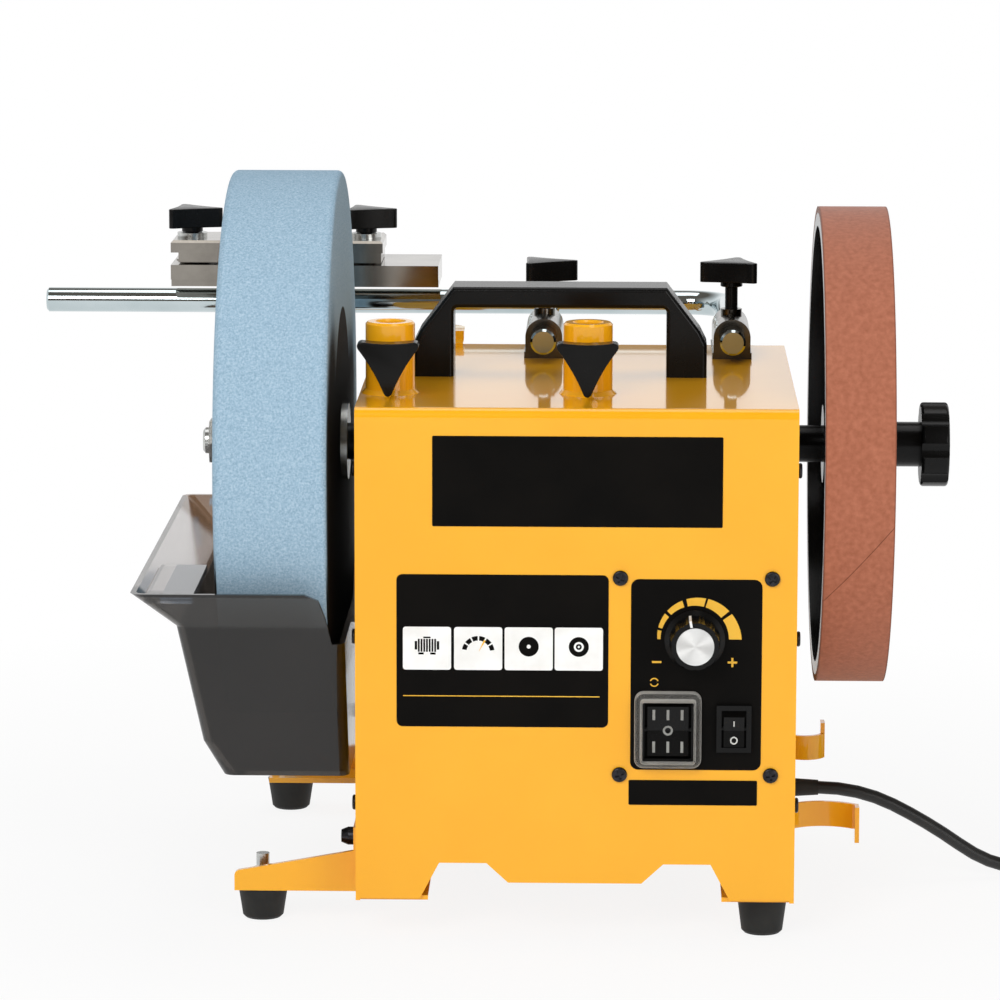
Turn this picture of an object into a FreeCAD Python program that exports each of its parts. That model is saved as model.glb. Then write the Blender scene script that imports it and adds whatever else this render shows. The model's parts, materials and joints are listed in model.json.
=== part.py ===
import FreeCAD, Part
import Sketcher
import math
import os
import re

Vector = FreeCAD.Vector

# Driving dimensions in millimetres. X runs to the right, Y to the back and Z up from the bench.
# Places are measured from the middle of the housing, the shaft axis and the bench.
driving = {
    # housing folded from sheet steel, with two side panels
    "body_width": 194,
    "body_depth": 215,
    "front_reach": 119,
    "shaft_height": 205,
    "top_over_shaft": 33,
    "sheet": 2,
    "bend": 4,
    "side_bottom": 17.5,
    "panel_bottom": 18.5,
    "notch_top": 34.8,
    "tongue_bottom": 26,
    "notch_foot": 68.6,
    "notch_far": 60,
    "notch_near": 39.1,
    "tongue_half": 29.5,
    "flange_reach": 32,
    "floor_height": 35.2,
    "floor_lip": 12,
    "vent_width": 70,
    "vent_height": 4,
    "vent_pitch": 11,
    "vent_count": 6,
    "vent_low": 110,
    # sleeves that hold the support rod
    "rod_radius": 6,
    "rod_clearance": 0.05,
    "rod_pitch": 88,
    "sleeve_inset": 13.5,
    "sleeve_setback": 49,
    "sleeve_outer": 11,
    "sleeve_rise": 32,
    "sleeve_depth": 24,
    "sleeve_chamfer": 1,
    "weld_bead": 2,
    "weld_clearance": 0.15,
    "clamp_rise": 17,
    "boss_radius": 6,
    "boss_reach": 2,
    "rear_inset": 26,
    "rod_rise": 10,
    "rear_front": 43,
    "rear_length": 47,
    "rear_width": 17.3,
    "rear_foot_width": 18.4,
    "rear_foot_thick": 3,
    "rear_boss_radius": 5,
    "rear_boss_rise": 11,
    # triangular clamp knobs with a moulded-in stud
    "stud_radius": 3,
    "stud_clearance": 0.15,
    "stud_tip_gap": 0.3,
    "knob_side": 30,
    "knob_corner": 2.5,
    "knob_thick": 9.5,
    "knob_edge": 1.2,
    "knob_collar_radius": 5.2,
    "knob_collar": 2.5,
    "knob_gap": 0.3,
    "rear_knob_lift": 10.5,
    # support rod with two legs
    "support_reach": 175,
    "cross_reach": 265,
    "rod_bend": 20,
    "leg_front": 25,
    "rod_chamfer": 1,
    # square edge jig on the support rod
    "jig_left": 201.4,
    "jig_width": 131,
    "jig_depth": 50,
    "jig_thick": 10.8,
    "jig_lift": 9.6,
    "jig_lip": 3,
    "guide_inset": 42.4,
    "guide_width": 40,
    "guide_depth": 26,
    "guide_drop": 11,
    "bush_wall": 2,
    "jig_clearance": 0.05,
    "pillar_radius": 8,
    "pillar_height": 0.5,
    "pillar_inset": 8.6,
    "pillar_pitch": 86,
    "jaw_width": 104,
    "jaw_depth": 40,
    "jaw_thick": 10.9,
    "jaw_chamfer": 1.2,
    "jaw_seat": 0.1,
    "jaw_step": 4.9,
    "jaw_step_left": 3.7,
    "jaw_step_right": 0.8,
    "jig_washer_radius": 7.4,
    "jig_washer": 2,
    "jig_stud_depth": 8,
    # carry handle
    "handle_shift": 8.6,
    "handle_half": 66.8,
    "handle_shoulder": 63.8,
    "handle_top_half": 48.6,
    "handle_gap_half": 48.4,
    "handle_rise": 41,
    "handle_grip": 9.5,
    "handle_slant": 20,
    "handle_step": 6,
    "handle_depth": 26,
    "handle_front": -20,
    "handle_edge": 2,
    # ring tab at the back edge of the top
    "tab_centre": 66,
    "tab_width": 20,
    "tab_reach": 12,
    "tab_base": 16,
    "tab_lift": 4,
    "tab_hole": 4,
    # outriggers and feet on the stone side
    "plate_thick": 2.5,
    "arm_reach": 56,
    "arm_depth": 25,
    "arm_bottom": 14.7,
    "arm_tip": 9,
    "arm_root": 19,
    "wall_flange_top": 44,
    "front_arm_y": -79,
    "rear_arm_y": 139,
    "foot_inset": 12,
    "rear_foot_inset": 10,
    "rear_web_start": 8,
    "rear_web_width": 34,
    "foot_top_radius": 11.3,
    "foot_bottom_radius": 9.2,
    "foot_edge": 1.2,
    "case_foot_inset": 13.5,
    "case_foot_front": 19,
    "case_foot_back": 18,
    "bolt_head_flats": 10,
    "bolt_head": 5,
    "bolt_radius": 3,
    "bolt_stick": 8,
    "bolt_rise": 12,
    "screw_head_radius": 4.1,
    "screw_head": 6,
    "screw_height": 37.3,
    # small case screws
    "case_screw_radius": 3.4,
    "case_screw_head": 1.8,
    "case_screw_shank": 1.6,
    "case_screw_length": 5,
    "panel_screw_left": 19.5,
    "panel_screw_pitch": 66.5,
    "panel_screw_low": 75.5,
    "panel_screw_rise": 88,
    "side_screw_inset": 9,
    "side_screw_low": 60,
    "side_screw_pitch": 75,
    # controls on the front panel
    "dial_x": 52.2,
    "dial_height": 136.4,
    "dial_radius": 13.3,
    "dial_skirt": 4,
    "dial_grip_radius": 11.3,
    "dial_reach": 17.5,
    "dial_gap": 0.6,
    "dial_cap_radius": 8.25,
    "dial_cap": 0.8,
    "flute_radius": 2.4,
    "flute_sink": 1.1,
    "flute_count": 12,
    "spindle_radius": 3,
    "pot_radius": 8.5,
    "pot_depth": 10,
    "pot_bush_radius": 4,
    "reverse_x": 40.7,
    "reverse_height": 96.1,
    "reverse_width": 25,
    "reverse_tall": 30,
    "reverse_body": 20,
    "reverse_rocker_width": 18,
    "reverse_rocker_tall": 22,
    "power_x": 69.7,
    "power_height": 96.7,
    "power_width": 15.3,
    "power_tall": 21,
    "power_body": 15,
    "power_rocker_width": 9,
    "power_rocker_tall": 14,
    "bezel_thick": 3,
    "bezel_border": 2.2,
    "cavity_depth": 9,
    "rocker_lobe": 2.4,
    "rocker_waist": 0.4,
    "rocker_back": 4,
    "rocker_pin": 1.5,
    "rocker_pin_in": 0.8,
    "power_tilt": 9,
    "boot_width": 29.5,
    "boot_tall": 34,
    "boot_reach": 9.5,
    "boot_wall": 1.2,
    "boot_edge": 3,
    # cord gland and cord hooks on the right panel
    "gland_height": 43.2,
    "gland_y": 0,
    "gland_flange_radius": 7.2,
    "gland_flange": 3,
    "gland_body_radius": 5.5,
    "gland_inside": 8,
    "gland_tail": 12,
    "gland_tip_radius": 3.5,
    "cord_radius": 3,
    "hook_tall": 11.5,
    "hook_strip": 2,
    "hook_foot": 14,
    "hook_tab": 5,
    "upper_hook_y": 30,
    "upper_hook_low": 51,
    "upper_hook_reach": 19,
    "upper_hook_bow": 7,
    "lower_hook_y": -40,
    "lower_hook_low": 33,
    "lower_hook_reach": 32,
    "lower_hook_bow": 7,
    # shaft, stone and honing wheel
    "shaft_radius": 6,
    "shaft_clearance": 0.05,
    "fit_gap": 0.1,
    "wheel_gap": 12,
    "stone_radius": 124.5,
    "stone_width": 50,
    "stone_edge": 2.5,
    "washer_radius": 17.5,
    "washer_thick": 3,
    "nut_flats": 19,
    "nut_thick": 8,
    "shaft_overhang": 3,
    "spacer_radius": 8.5,
    "wall_gap": 0.5,
    "bush_outer": 10,
    "bush_flange_radius": 15,
    "bush_flange": 3,
    "bush_length": 12,
    "honing_radius": 109,
    "honing_width": 31,
    "leather_thick": 3,
    "rim_thick": 6,
    "web_thick": 6,
    "web_step_radius": 57,
    "web_step": 5,
    "hub_radius": 18,
    "hub_recess": 3,
    "neck_radius": 10.3,
    "neck_length": 16.7,
    "grip_radius": 19.3,
    "grip_thick": 12.7,
    "grip_lobe_radius": 5,
    "grip_lobe_sink": 2,
    "grip_lobes": 8,
    "grip_edge": 1.5,
    # motor and belt drive inside the housing
    "motor_radius": 38,
    "motor_length": 96,
    "motor_left": -58,
    "motor_y": -5,
    "motor_height": 96,
    "motor_shaft_radius": 5,
    "motor_boss_radius": 14,
    "motor_boss": 5,
    "cradle_width": 70,
    "cradle_thick": 8,
    "cradle_gap": 0.2,
    "belt_left": 60,
    "belt_width": 12,
    "belt_thick": 2.5,
    "belt_gap": 0.3,
    "shaft_pulley_radius": 24,
    "motor_pulley_radius": 12,
    "pulley_flange": 3.5,
    "pulley_cheek": 2,
    "board_thick": 1.6,
    "board_width": 84,
    "board_tall": 62,
    "board_left": -80,
    "board_low": 62,
    "board_post": 10,
    "board_post_radius": 3,
    # water trough
    "trough_wall": 2.5,
    "trough_drop": 140,
    "trough_chamfer_rise": 17,
    "trough_shoulder_rise": 75,
    "trough_rim_rise": 92,
    "trough_right": 102,
    "trough_rim_left": 195,
    "trough_shoulder_left": 176,
    "trough_chamfer_left": 167,
    "trough_floor_left": 158.5,
    "trough_rim_half": 131,
    "trough_rim_back": 137,
    "trough_shoulder_half": 118,
    "trough_floor_half": 80,
    "trough_corner": 5,
    "trough_low_rise": 66.8,
    "trough_cut": 107.5,
    "trough_cut_top": 118.5,
    "trough_cut_round": 6,
    "trough_ledge_depth": 80,
    "trough_ledge_reach": 168,
    "trough_ledge_rise": 90,
    "hanger_lip": 4.4,
    "hanger_lip_thick": 3,
    "hanger_width": 90,
    "hanger_tall": 24,
    "hanger_gap": 0.1,
    "hanger_thick": 2,
    # cord put away as a coil beside the machine
    "coil_x": 246,
    "coil_front": 12,
    "coil_pitch": 6.6,
    "coil_outer": 38.5,
    "coil_turns": 7.25,
    "coil_layers": 4,
    "cord_rest": 3.3,
    "tail_drift": 2,
    "tail_level": 22,
    "tail_fall": 30,
    "tail_end": 18,
    "plug_length": 34,
    "plug_width": 30,
    "plug_tall": 18,
    "plug_edge": 4,
    "plug_lift": 0.3,
    "plug_pin_radius": 2.4,
    "plug_pin_length": 19,
    "plug_pin_pitch": 19,
}

# Places that follow from the driving dimensions
derived = {
    "front": "-front_reach",
    "back": "body_depth - front_reach",
    "half": "body_width / 2",
    "body_top": "shaft_height + top_over_shaft",
    "tab_back": "back + tab_reach",
    "trough_floor": "shaft_height - trough_drop",
    "trough_chamfer_top": "trough_floor + trough_chamfer_rise",
    "trough_shoulder": "trough_floor + trough_shoulder_rise",
    "trough_rim": "trough_floor + trough_rim_rise",
    "trough_low_rim": "trough_floor + trough_low_rise",
    "trough_ledge_height": "trough_floor + trough_ledge_rise",
    "rod_axis": "body_top + rod_rise",
    "bore": "rod_radius + rod_clearance",
    "rear_right_x": "half - rear_inset",
    "rear_left_x": "half - rear_inset - rod_pitch",
    "stone_right": "-half - wheel_gap",
    "stone_left": "stone_right - stone_width",
    "honing_left": "half + wheel_gap",
    "honing_right": "honing_left + honing_width",
    "knob_right": "honing_right + neck_length + grip_thick",
    "jig_back": "support_reach + jig_depth / 2",
    "jig_bottom": "rod_axis + jig_lift",
    "jig_top": "jig_bottom + jig_thick",
    "jaw_bottom": "jig_top + pillar_height + jaw_seat",
    "left_pillar_x": "-jig_left + pillar_inset",
    "bush_radius": "rod_radius + rod_clearance + bush_wall",
    "foot_height": "arm_bottom",
    "motor_right": "motor_left + motor_length",
    "middle_x": "(knob_right - cross_reach) / 2",
    "middle_y": "(jig_back - front_reach - dial_reach - dial_cap) / 2",
    "coil_turns_per_layer": "(coil_turns - (coil_layers - 1) / 2) / coil_layers",
    "bush_in": "half - sheet - bush_flange",
}

doc = FreeCAD.newDocument("wet_grinder")
sheet = doc.addObject("Spreadsheet::Sheet", "size")
for row, (word, value) in enumerate(driving.items(), start=1):
    sheet.set("A%d" % row, word)
    sheet.set("B%d" % row, str(value))
    sheet.setAlias("B%d" % row, word)
doc.recompute()

nodes = {}
axes = {"top": "XY_Plane", "front": "XZ_Plane", "side": "YZ_Plane"}


def bind(text):
    # turns plain words into an expression on the sheet's cells
    def swap(found):
        word = found.group(0)
        if word in derived:
            return "(" + bind(derived[word]) + ")"
        if word in driving:
            return "size." + word
        return word
    return re.sub(r"[a-z_][a-z0-9_]*", swap, str(text))


def num(text):
    return float(sheet.evalExpression(bind(text)))


def new_body(name):
    body = doc.addObject("PartDesign::Body", name)
    body.Label = name
    return body


def sketch(body, plane, offset="0"):
    # offset is the plane's place along Z, Y or X
    made = body.newObject("Sketcher::SketchObject", body.Name + "_sketch")
    origin = [item for item in body.Origin.OriginFeatures if item.Role == axes[plane]][0]
    made.AttachmentSupport = (origin, [""])
    made.MapMode = "FlatFace"
    sign = "-1 * " if plane == "front" else ""
    made.setExpression("AttachmentOffset.Base.z", bind("%s(%s)" % (sign, offset)))
    return made


def fix_point(made, edge, end, x, y):
    for kind, text in (("DistanceX", x), ("DistanceY", y)):
        index = made.addConstraint(Sketcher.Constraint(kind, -1, 1, edge, end, num(text)))
        made.setExpression("Constraints[%d]" % index, bind(text))


def outline(made, points):
    # closed outline of straight edges through points given as expressions
    first = made.GeometryCount
    count = len(points)
    spots = [Vector(num(x), num(y), 0) for x, y in points]
    for index in range(count):
        made.addGeometry(Part.LineSegment(spots[index], spots[(index + 1) % count]), False)
    for index in range(count):
        following = first + (index + 1) % count
        made.addConstraint(Sketcher.Constraint("Coincident", first + index, 2, following, 1))
    for index, (x, y) in enumerate(points):
        fix_point(made, first + index, 1, x, y)


def rectangle(made, left, right, low, high):
    outline(made, [(left, low), (right, low), (right, high), (left, high)])


def rounded(made, left, right, low, high, radius):
    # rectangle with round corners, drawn counterclockwise
    corners = [(left, low, 1, 1), (right, low, -1, 1), (right, high, -1, -1), (left, high, 1, -1)]
    ends = []
    for x, y, to_x, to_y in corners:
        on_x = ("%s + %d * (%s)" % (x, to_x, radius), y)
        on_y = (x, "%s + %d * (%s)" % (y, to_y, radius))
        ends.append((on_y, on_x) if to_x == to_y else (on_x, on_y))
    first = made.GeometryCount
    size_value = num(radius)
    middle_turn = size_value * (1 - math.sqrt(0.5))
    for index in range(4):
        x, y, to_x, to_y = corners[index]
        enter, leave = ends[index]
        following = ends[(index + 1) % 4][0]
        start = Vector(num(enter[0]), num(enter[1]), 0)
        stop = Vector(num(leave[0]), num(leave[1]), 0)
        middle = Vector(num(x) + to_x * middle_turn, num(y) + to_y * middle_turn, 0)
        made.addGeometry(Part.Arc(start, middle, stop), False)
        made.addGeometry(Part.LineSegment(stop, Vector(num(following[0]), num(following[1]), 0)), False)
    for index in range(4):
        line = first + 2 * index + 1
        arc = first + 2 * index
        next_arc = first + (2 * index + 2) % 8
        enter, leave = ends[index]
        following = ends[(index + 1) % 4][0]
        fix_point(made, line, 1, leave[0], leave[1])
        fix_point(made, line, 2, following[0], following[1])
        made.addConstraint(Sketcher.Constraint("Coincident", arc, 2, line, 1))
        made.addConstraint(Sketcher.Constraint("Coincident", next_arc, 1, line, 2))
        turn = made.addConstraint(Sketcher.Constraint("Radius", arc, size_value))
        made.setExpression("Constraints[%d]" % turn, bind(radius))


def circle(made, x, y, radius):
    spot = Vector(num(x), num(y), 0)
    edge = made.addGeometry(Part.Circle(spot, Vector(0, 0, 1), num(radius)), False)
    fix_point(made, edge, 3, x, y)
    index = made.addConstraint(Sketcher.Constraint("Radius", edge, num(radius)))
    made.setExpression("Constraints[%d]" % index, bind(radius))


def pad(body, profile, length, symmetric=False, reverse=False):
    made = body.newObject("PartDesign::Pad", body.Name + "_pad")
    made.Profile = profile
    made.setExpression("Length", bind(length))
    made.SideType = "Symmetric" if symmetric else "One side"
    made.Reversed = reverse
    doc.recompute()
    return made


def pocket(body, profile, length=None, symmetric=False, reverse=False):
    # a pocket with no length goes through everything; each pocket has to take material away
    before = body.Shape.Volume
    made = body.newObject("PartDesign::Pocket", body.Name + "_pocket")
    made.Profile = profile
    if length is None:
        made.Type = "ThroughAll"
    else:
        made.setExpression("Length", bind(length))
    made.SideType = "Symmetric" if symmetric else "One side"
    made.Reversed = reverse
    doc.recompute()
    if body.Shape.Volume >= before:
        raise RuntimeError("a pocket cuts nothing in " + body.Label)
    return made


def revolve(body, profile, axis="H_Axis"):
    made = body.newObject("PartDesign::Revolution", body.Name + "_turned")
    made.Profile = profile
    made.ReferenceAxis = (profile, [axis])
    made.Angle = 360
    doc.recompute()
    return made


def polar(body, feature, profile, axis, count):
    made = body.newObject("PartDesign::PolarPattern", body.Name + "_around")
    made.Originals = [feature]
    made.Axis = (profile, [axis])
    made.Angle = 360
    made.setExpression("Occurrences", bind(count))
    body.Tip = made
    doc.recompute()
    return made


def row_of(body, feature, profile, axis, pitch, count):
    made = body.newObject("PartDesign::LinearPattern", body.Name + "_row")
    made.Originals = [feature]
    made.Direction = (profile, [axis])
    made.setExpression("Length", bind("(%s) * (%s - 1)" % (pitch, count)))
    made.setExpression("Occurrences", bind(count))
    body.Tip = made
    doc.recompute()
    return made


def soften(body, radius, picked, kind="Fillet"):
    # rounds or chamfers the edges that the function picked says yes to
    base = body.Tip
    names = ["Edge%d" % (index + 1) for index, edge in enumerate(base.Shape.Edges) if picked(edge)]
    if not names:
        raise RuntimeError("no edge to soften in " + body.Label)
    made = body.newObject("PartDesign::" + kind, body.Name + "_edge")
    made.Base = (base, names)
    made.setExpression("Radius" if kind == "Fillet" else "Size", bind(radius))
    doc.recompute()
    return made


def near(value, text, slack=0.01):
    return abs(value - num(text)) < slack


def runs_along(edge, axis):
    # true for a straight edge along one axis
    if not isinstance(edge.Curve, Part.Line):
        return False
    start = edge.Vertexes[0].Point
    end = edge.Vertexes[-1].Point
    way = end - start
    others = {"x": (way.y, way.z), "y": (way.x, way.z), "z": (way.x, way.y)}[axis]
    return max(abs(others[0]), abs(others[1])) < 1e-6


def place(thing, x="0", y="0", z="0", turn=None):
    # sets a piece in the frame whose origin is the middle of the footprint on the bench
    if turn is not None:
        axis, angle = turn
        thing.Placement = FreeCAD.Placement(Vector(), FreeCAD.Rotation(Vector(*axis), angle))
    thing.setExpression("Placement.Base.x", bind("%s - middle_x" % x))
    thing.setExpression("Placement.Base.y", bind("%s - middle_y" % y))
    thing.setExpression("Placement.Base.z", bind(z))
    return thing


def keep(thing, name):
    thing.Label = name
    nodes[name] = thing
    return thing


def group(name, things):
    made = doc.addObject("Part::Compound", name)
    made.Links = things
    return keep(made, name)


def fixed_shape(name, shape):
    # a piece whose shape is worked out here, set in the common frame
    made = doc.addObject("Part::Feature", name)
    made.Shape = shape
    made.Placement = FreeCAD.Placement(Vector(-num("middle_x"), -num("middle_y"), 0), FreeCAD.Rotation())
    return keep(made, name)


# Housing

def housing_shell():
    body = new_body("housing_shell")
    profile = sketch(body, "side")
    outline(profile, [
        ("front", "panel_bottom"), ("front", "body_top"), ("back", "body_top"), ("back", "panel_bottom"),
        ("back - sheet", "panel_bottom"), ("back - sheet", "body_top - sheet"),
        ("front + sheet", "body_top - sheet"), ("front + sheet", "panel_bottom")])
    pad(body, profile, "body_width - 2 * sheet", symmetric=True)
    soften(body, "bend", lambda edge: runs_along(edge, "x") and near(edge.BoundBox.ZMin, "body_top"))
    inside = "body_top - sheet"
    soften(body, "bend - sheet", lambda edge: runs_along(edge, "x") and near(edge.BoundBox.ZMin, inside))
    notch = sketch(body, "front")
    below = "panel_bottom - sheet"
    outline(notch, [
        ("-notch_foot", below), ("-notch_foot", "panel_bottom"), ("-notch_far", "notch_top"),
        ("-notch_near", "notch_top"), ("-tongue_half", "tongue_bottom"), ("tongue_half", "tongue_bottom"),
        ("notch_near", "notch_top"), ("notch_far", "notch_top"), ("notch_foot", "panel_bottom"),
        ("notch_foot", below)])
    pocket(body, notch, symmetric=True)
    holes = sketch(body, "front", "front")
    circle(holes, "dial_x", "dial_height", "pot_bush_radius + fit_gap")
    for x, height, wide, tall in (
            ("reverse_x", "reverse_height", "reverse_width", "reverse_tall"),
            ("power_x", "power_height", "power_width", "power_tall")):
        inner_x = "(%s / 2 - bezel_border / 2 + fit_gap)" % wide
        inner_z = "(%s / 2 - bezel_border / 2 + fit_gap)" % tall
        rectangle(holes, "%s - %s" % (x, inner_x), "%s + %s" % (x, inner_x),
                  "%s - %s" % (height, inner_z), "%s + %s" % (height, inner_z))
    for x, height in panel_screw_spots:
        circle(holes, x, height, "case_screw_shank + fit_gap")
    pocket(body, holes, "sheet")
    bores = sketch(body, "top", "body_top")
    for x in front_sleeve_x:
        circle(bores, x, "front + sleeve_setback", "sleeve_outer + weld_clearance")
    pocket(body, bores, "sheet")
    vent = sketch(body, "front", "back - sheet")
    rectangle(vent, "-vent_width / 2", "vent_width / 2", "vent_low", "vent_low + vent_height")
    slot = pocket(body, vent, "sheet")
    row_of(body, slot, vent, "V_Axis", "vent_pitch", "vent_count")
    keep(place(body), "housing_shell")


def side_panel(name, side):
    body = new_body(name)
    outer = "half" if side > 0 else "-half + sheet"
    profile = sketch(body, "side", "%s - sheet" % outer)
    rectangle(profile, "front", "back", "side_bottom", "body_top")
    pad(body, profile, "sheet")
    soften(body, "bend", lambda edge: runs_along(edge, "x") and near(edge.BoundBox.ZMin, "body_top"))
    foot = sketch(body, "top", "side_bottom")
    if side > 0:
        rectangle(foot, "half - flange_reach", "half", "front + sheet", "back - sheet")
    else:
        rectangle(foot, "-half", "-half + flange_reach", "front + sheet", "back - sheet")
    pad(body, foot, "sheet")
    holes = sketch(body, "side", "%s - sheet" % outer)
    circle(holes, "0", "shaft_height", "bush_outer + fit_gap")
    for y, height in side_screw_spots:
        circle(holes, y, height, "case_screw_shank + fit_gap")
    if side > 0:
        circle(holes, "gland_y", "gland_height", "gland_body_radius + fit_gap")
    else:
        circle(holes, "front_arm_y", "screw_height", "bolt_radius + fit_gap")
    pocket(body, holes, "sheet", reverse=True)
    bolts = sketch(body, "top", "side_bottom")
    if side > 0:
        for y in case_foot_y:
            circle(bolts, "half - case_foot_inset", y, "bolt_radius + fit_gap")
        pocket(body, bolts, "sheet", reverse=True)
    keep(place(body), name)


def bottom_plate():
    body = new_body("bottom_plate")
    inside = "half - sheet"
    floor = sketch(body, "top", "floor_height")
    rectangle(floor, "-(%s)" % inside, inside, "front + sheet", "back - sheet")
    pad(body, floor, "sheet")
    lips = sketch(body, "top", "floor_height")
    rectangle(lips, "-(%s)" % inside, "-(%s) + sheet" % inside, "front + sheet", "back - sheet")
    rectangle(lips, "%s - sheet" % inside, inside, "front + sheet", "back - sheet")
    pad(body, lips, "floor_lip", reverse=True)
    vents = sketch(body, "top", "floor_height")
    first_vent = "front + vent_pitch"
    rectangle(vents, "-vent_width / 2", "vent_width / 2", first_vent, "%s + vent_height" % first_vent)
    slot = pocket(body, vents, "sheet", reverse=True)
    row_of(body, slot, vents, "V_Axis", "vent_pitch", "vent_count / 2")
    keep(place(body), "bottom_plate")


# Sleeves and clamp knobs

def front_sleeve(name, x):
    body = new_body(name)
    tube = sketch(body, "front")
    outline(tube, [
        ("bore", "-sleeve_depth"), ("sleeve_outer", "-sleeve_depth"), ("sleeve_outer", "0"),
        ("sleeve_outer + weld_bead", "0"), ("sleeve_outer", "weld_bead"),
        ("sleeve_outer", "sleeve_rise - sleeve_chamfer"), ("sleeve_outer - sleeve_chamfer", "sleeve_rise"),
        ("bore + sleeve_chamfer", "sleeve_rise"), ("bore", "sleeve_rise - sleeve_chamfer")])
    revolve(body, tube, "V_Axis")
    boss = sketch(body, "front")
    circle(boss, "0", "clamp_rise", "boss_radius")
    pad(body, boss, "sleeve_outer + boss_reach")
    bored = sketch(body, "top", "sleeve_rise")
    circle(bored, "0", "0", "bore")
    pocket(body, bored)
    hole = sketch(body, "front")
    circle(hole, "0", "clamp_rise", "stud_radius + stud_clearance")
    pocket(body, hole, "sleeve_outer + boss_reach", reverse=True)
    keep(place(body, x, "front + sleeve_setback", "body_top"), name)


def rear_sleeve(name, x):
    body = new_body(name)
    base = sketch(body, "front", "rear_length")
    rectangle(base, "-rear_width / 2", "rear_width / 2", "0", "rod_rise")
    pad(body, base, "rear_length")
    crown = sketch(body, "front", "rear_length")
    circle(crown, "0", "rod_rise", "rear_width / 2")
    pad(body, crown, "rear_length")
    foot = sketch(body, "top")
    rectangle(foot, "-rear_foot_width / 2", "rear_foot_width / 2", "0", "rear_length")
    pad(body, foot, "rear_foot_thick")
    boss = sketch(body, "top", "rod_rise")
    circle(boss, "0", "rear_length / 2", "rear_boss_radius")
    pad(body, boss, "rear_boss_rise")
    bored = sketch(body, "front", "rear_length")
    circle(bored, "0", "rod_rise", "bore")
    pocket(body, bored, "rear_length", reverse=True)
    hole = sketch(body, "top", "rod_rise")
    circle(hole, "0", "rear_length / 2", "stud_radius + stud_clearance")
    pocket(body, hole, "rear_boss_rise", reverse=True)
    keep(place(body, x, "rear_front", "body_top"), name)


def clamp_knob(name, stud, x, y, z, turn):
    # three-cornered knob on its own axis, with a collar and a stud below it
    body = new_body(name)
    grip = sketch(body, "top", "knob_collar")
    inradius = "knob_side / (2 * sqrt(3))"
    outline(grip, [
        ("-knob_side / 2", inradius), ("0", "-2 * %s" % inradius), ("knob_side / 2", inradius)])
    pad(body, grip, "knob_thick")
    soften(body, "knob_corner", lambda edge: runs_along(edge, "z"))
    top = "knob_collar + knob_thick"
    soften(body, "knob_edge", lambda edge: near(edge.BoundBox.ZMin, top))
    collar = sketch(body, "top")
    circle(collar, "0", "0", "knob_collar_radius")
    pad(body, collar, "knob_collar")
    shank = sketch(body, "top")
    circle(shank, "0", "0", "stud_radius")
    pad(body, shank, stud, reverse=True)
    keep(place(body, x, y, z, turn), name)


# Support rod and jig

def support_bar():
    body = new_body("support_bar")
    path = sketch(body, "top")
    start = Vector(num("rear_right_x"), num("leg_front"), 0)
    bend_in = Vector(start.x, num("support_reach - rod_bend"), 0)
    bend_out = Vector(num("rear_right_x - rod_bend"), num("support_reach"), 0)
    turn = num("rod_bend") * (1 - math.sqrt(0.5))
    corner = Vector(start.x - turn, num("support_reach") - turn, 0)
    finish = Vector(num("-cross_reach"), bend_out.y, 0)
    path.addGeometry(Part.LineSegment(start, bend_in), False)
    path.addGeometry(Part.Arc(bend_in, corner, bend_out), False)
    path.addGeometry(Part.LineSegment(bend_out, finish), False)
    fix_point(path, 0, 1, "rear_right_x", "leg_front")
    fix_point(path, 0, 2, "rear_right_x", "support_reach - rod_bend")
    fix_point(path, 2, 1, "rear_right_x - rod_bend", "support_reach")
    fix_point(path, 2, 2, "-cross_reach", "support_reach")
    path.addConstraint(Sketcher.Constraint("Coincident", 0, 2, 1, 1))
    path.addConstraint(Sketcher.Constraint("Coincident", 1, 2, 2, 1))
    radius = path.addConstraint(Sketcher.Constraint("Radius", 1, num("rod_bend")))
    path.setExpression("Constraints[%d]" % radius, bind("rod_bend"))
    section = sketch(body, "front", "leg_front")
    circle(section, "rear_right_x", "0", "rod_radius")
    pipe = body.newObject("PartDesign::AdditivePipe", "support_bar_pipe")
    pipe.Profile = section
    pipe.Spine = (path, ["Edge1", "Edge2", "Edge3"])
    doc.recompute()
    leg = sketch(body, "front", "leg_front")
    circle(leg, "rear_left_x", "0", "rod_radius")
    pad(body, leg, "support_reach - leg_front", reverse=True)
    ends = ("leg_front",)
    soften(body, "rod_chamfer", lambda edge: isinstance(edge.Curve, Part.Circle)
           and (any(near(edge.BoundBox.YMax, end) for end in ends)
                or near(edge.BoundBox.XMax, "-cross_reach")), "Chamfer")
    keep(place(body, z="rod_axis"), "support_bar")


def jig_base():
    body = new_body("jig_base")
    plate = sketch(body, "top", "jig_lift")
    rectangle(plate, "-jig_left", "-jig_left + jig_width", "-jig_depth / 2", "jig_depth / 2")
    pad(body, plate, "jig_thick")
    step = sketch(body, "side", "-jig_left")
    rectangle(step, "-jig_depth / 2", "-jig_depth / 2 + jig_lip", "jig_lift", "jig_lift + jig_thick / 3")
    pocket(body, step, "jig_width", reverse=True)
    guide = sketch(body, "top", "-guide_drop")
    left = "-jig_left + guide_inset"
    rectangle(guide, left, "%s + guide_width" % left, "-guide_depth / 2", "guide_depth / 2")
    pad(body, guide, "guide_drop + jig_lift")
    pillars = sketch(body, "top", "jig_lift + jig_thick")
    for x in pillar_x:
        circle(pillars, x, "0", "pillar_radius")
    pad(body, pillars, "pillar_height")
    bored = sketch(body, "side", left)
    circle(bored, "0", "0", "bush_radius + jig_clearance")
    pocket(body, bored, "guide_width", reverse=True)
    taps = sketch(body, "top", "jig_lift + jig_thick + pillar_height")
    for x in pillar_x:
        circle(taps, x, "0", "stud_radius + stud_clearance")
    pocket(body, taps, "jig_stud_depth + stud_tip_gap")
    keep(place(body, "0", "support_reach", "rod_axis"), "jig_base")


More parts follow.
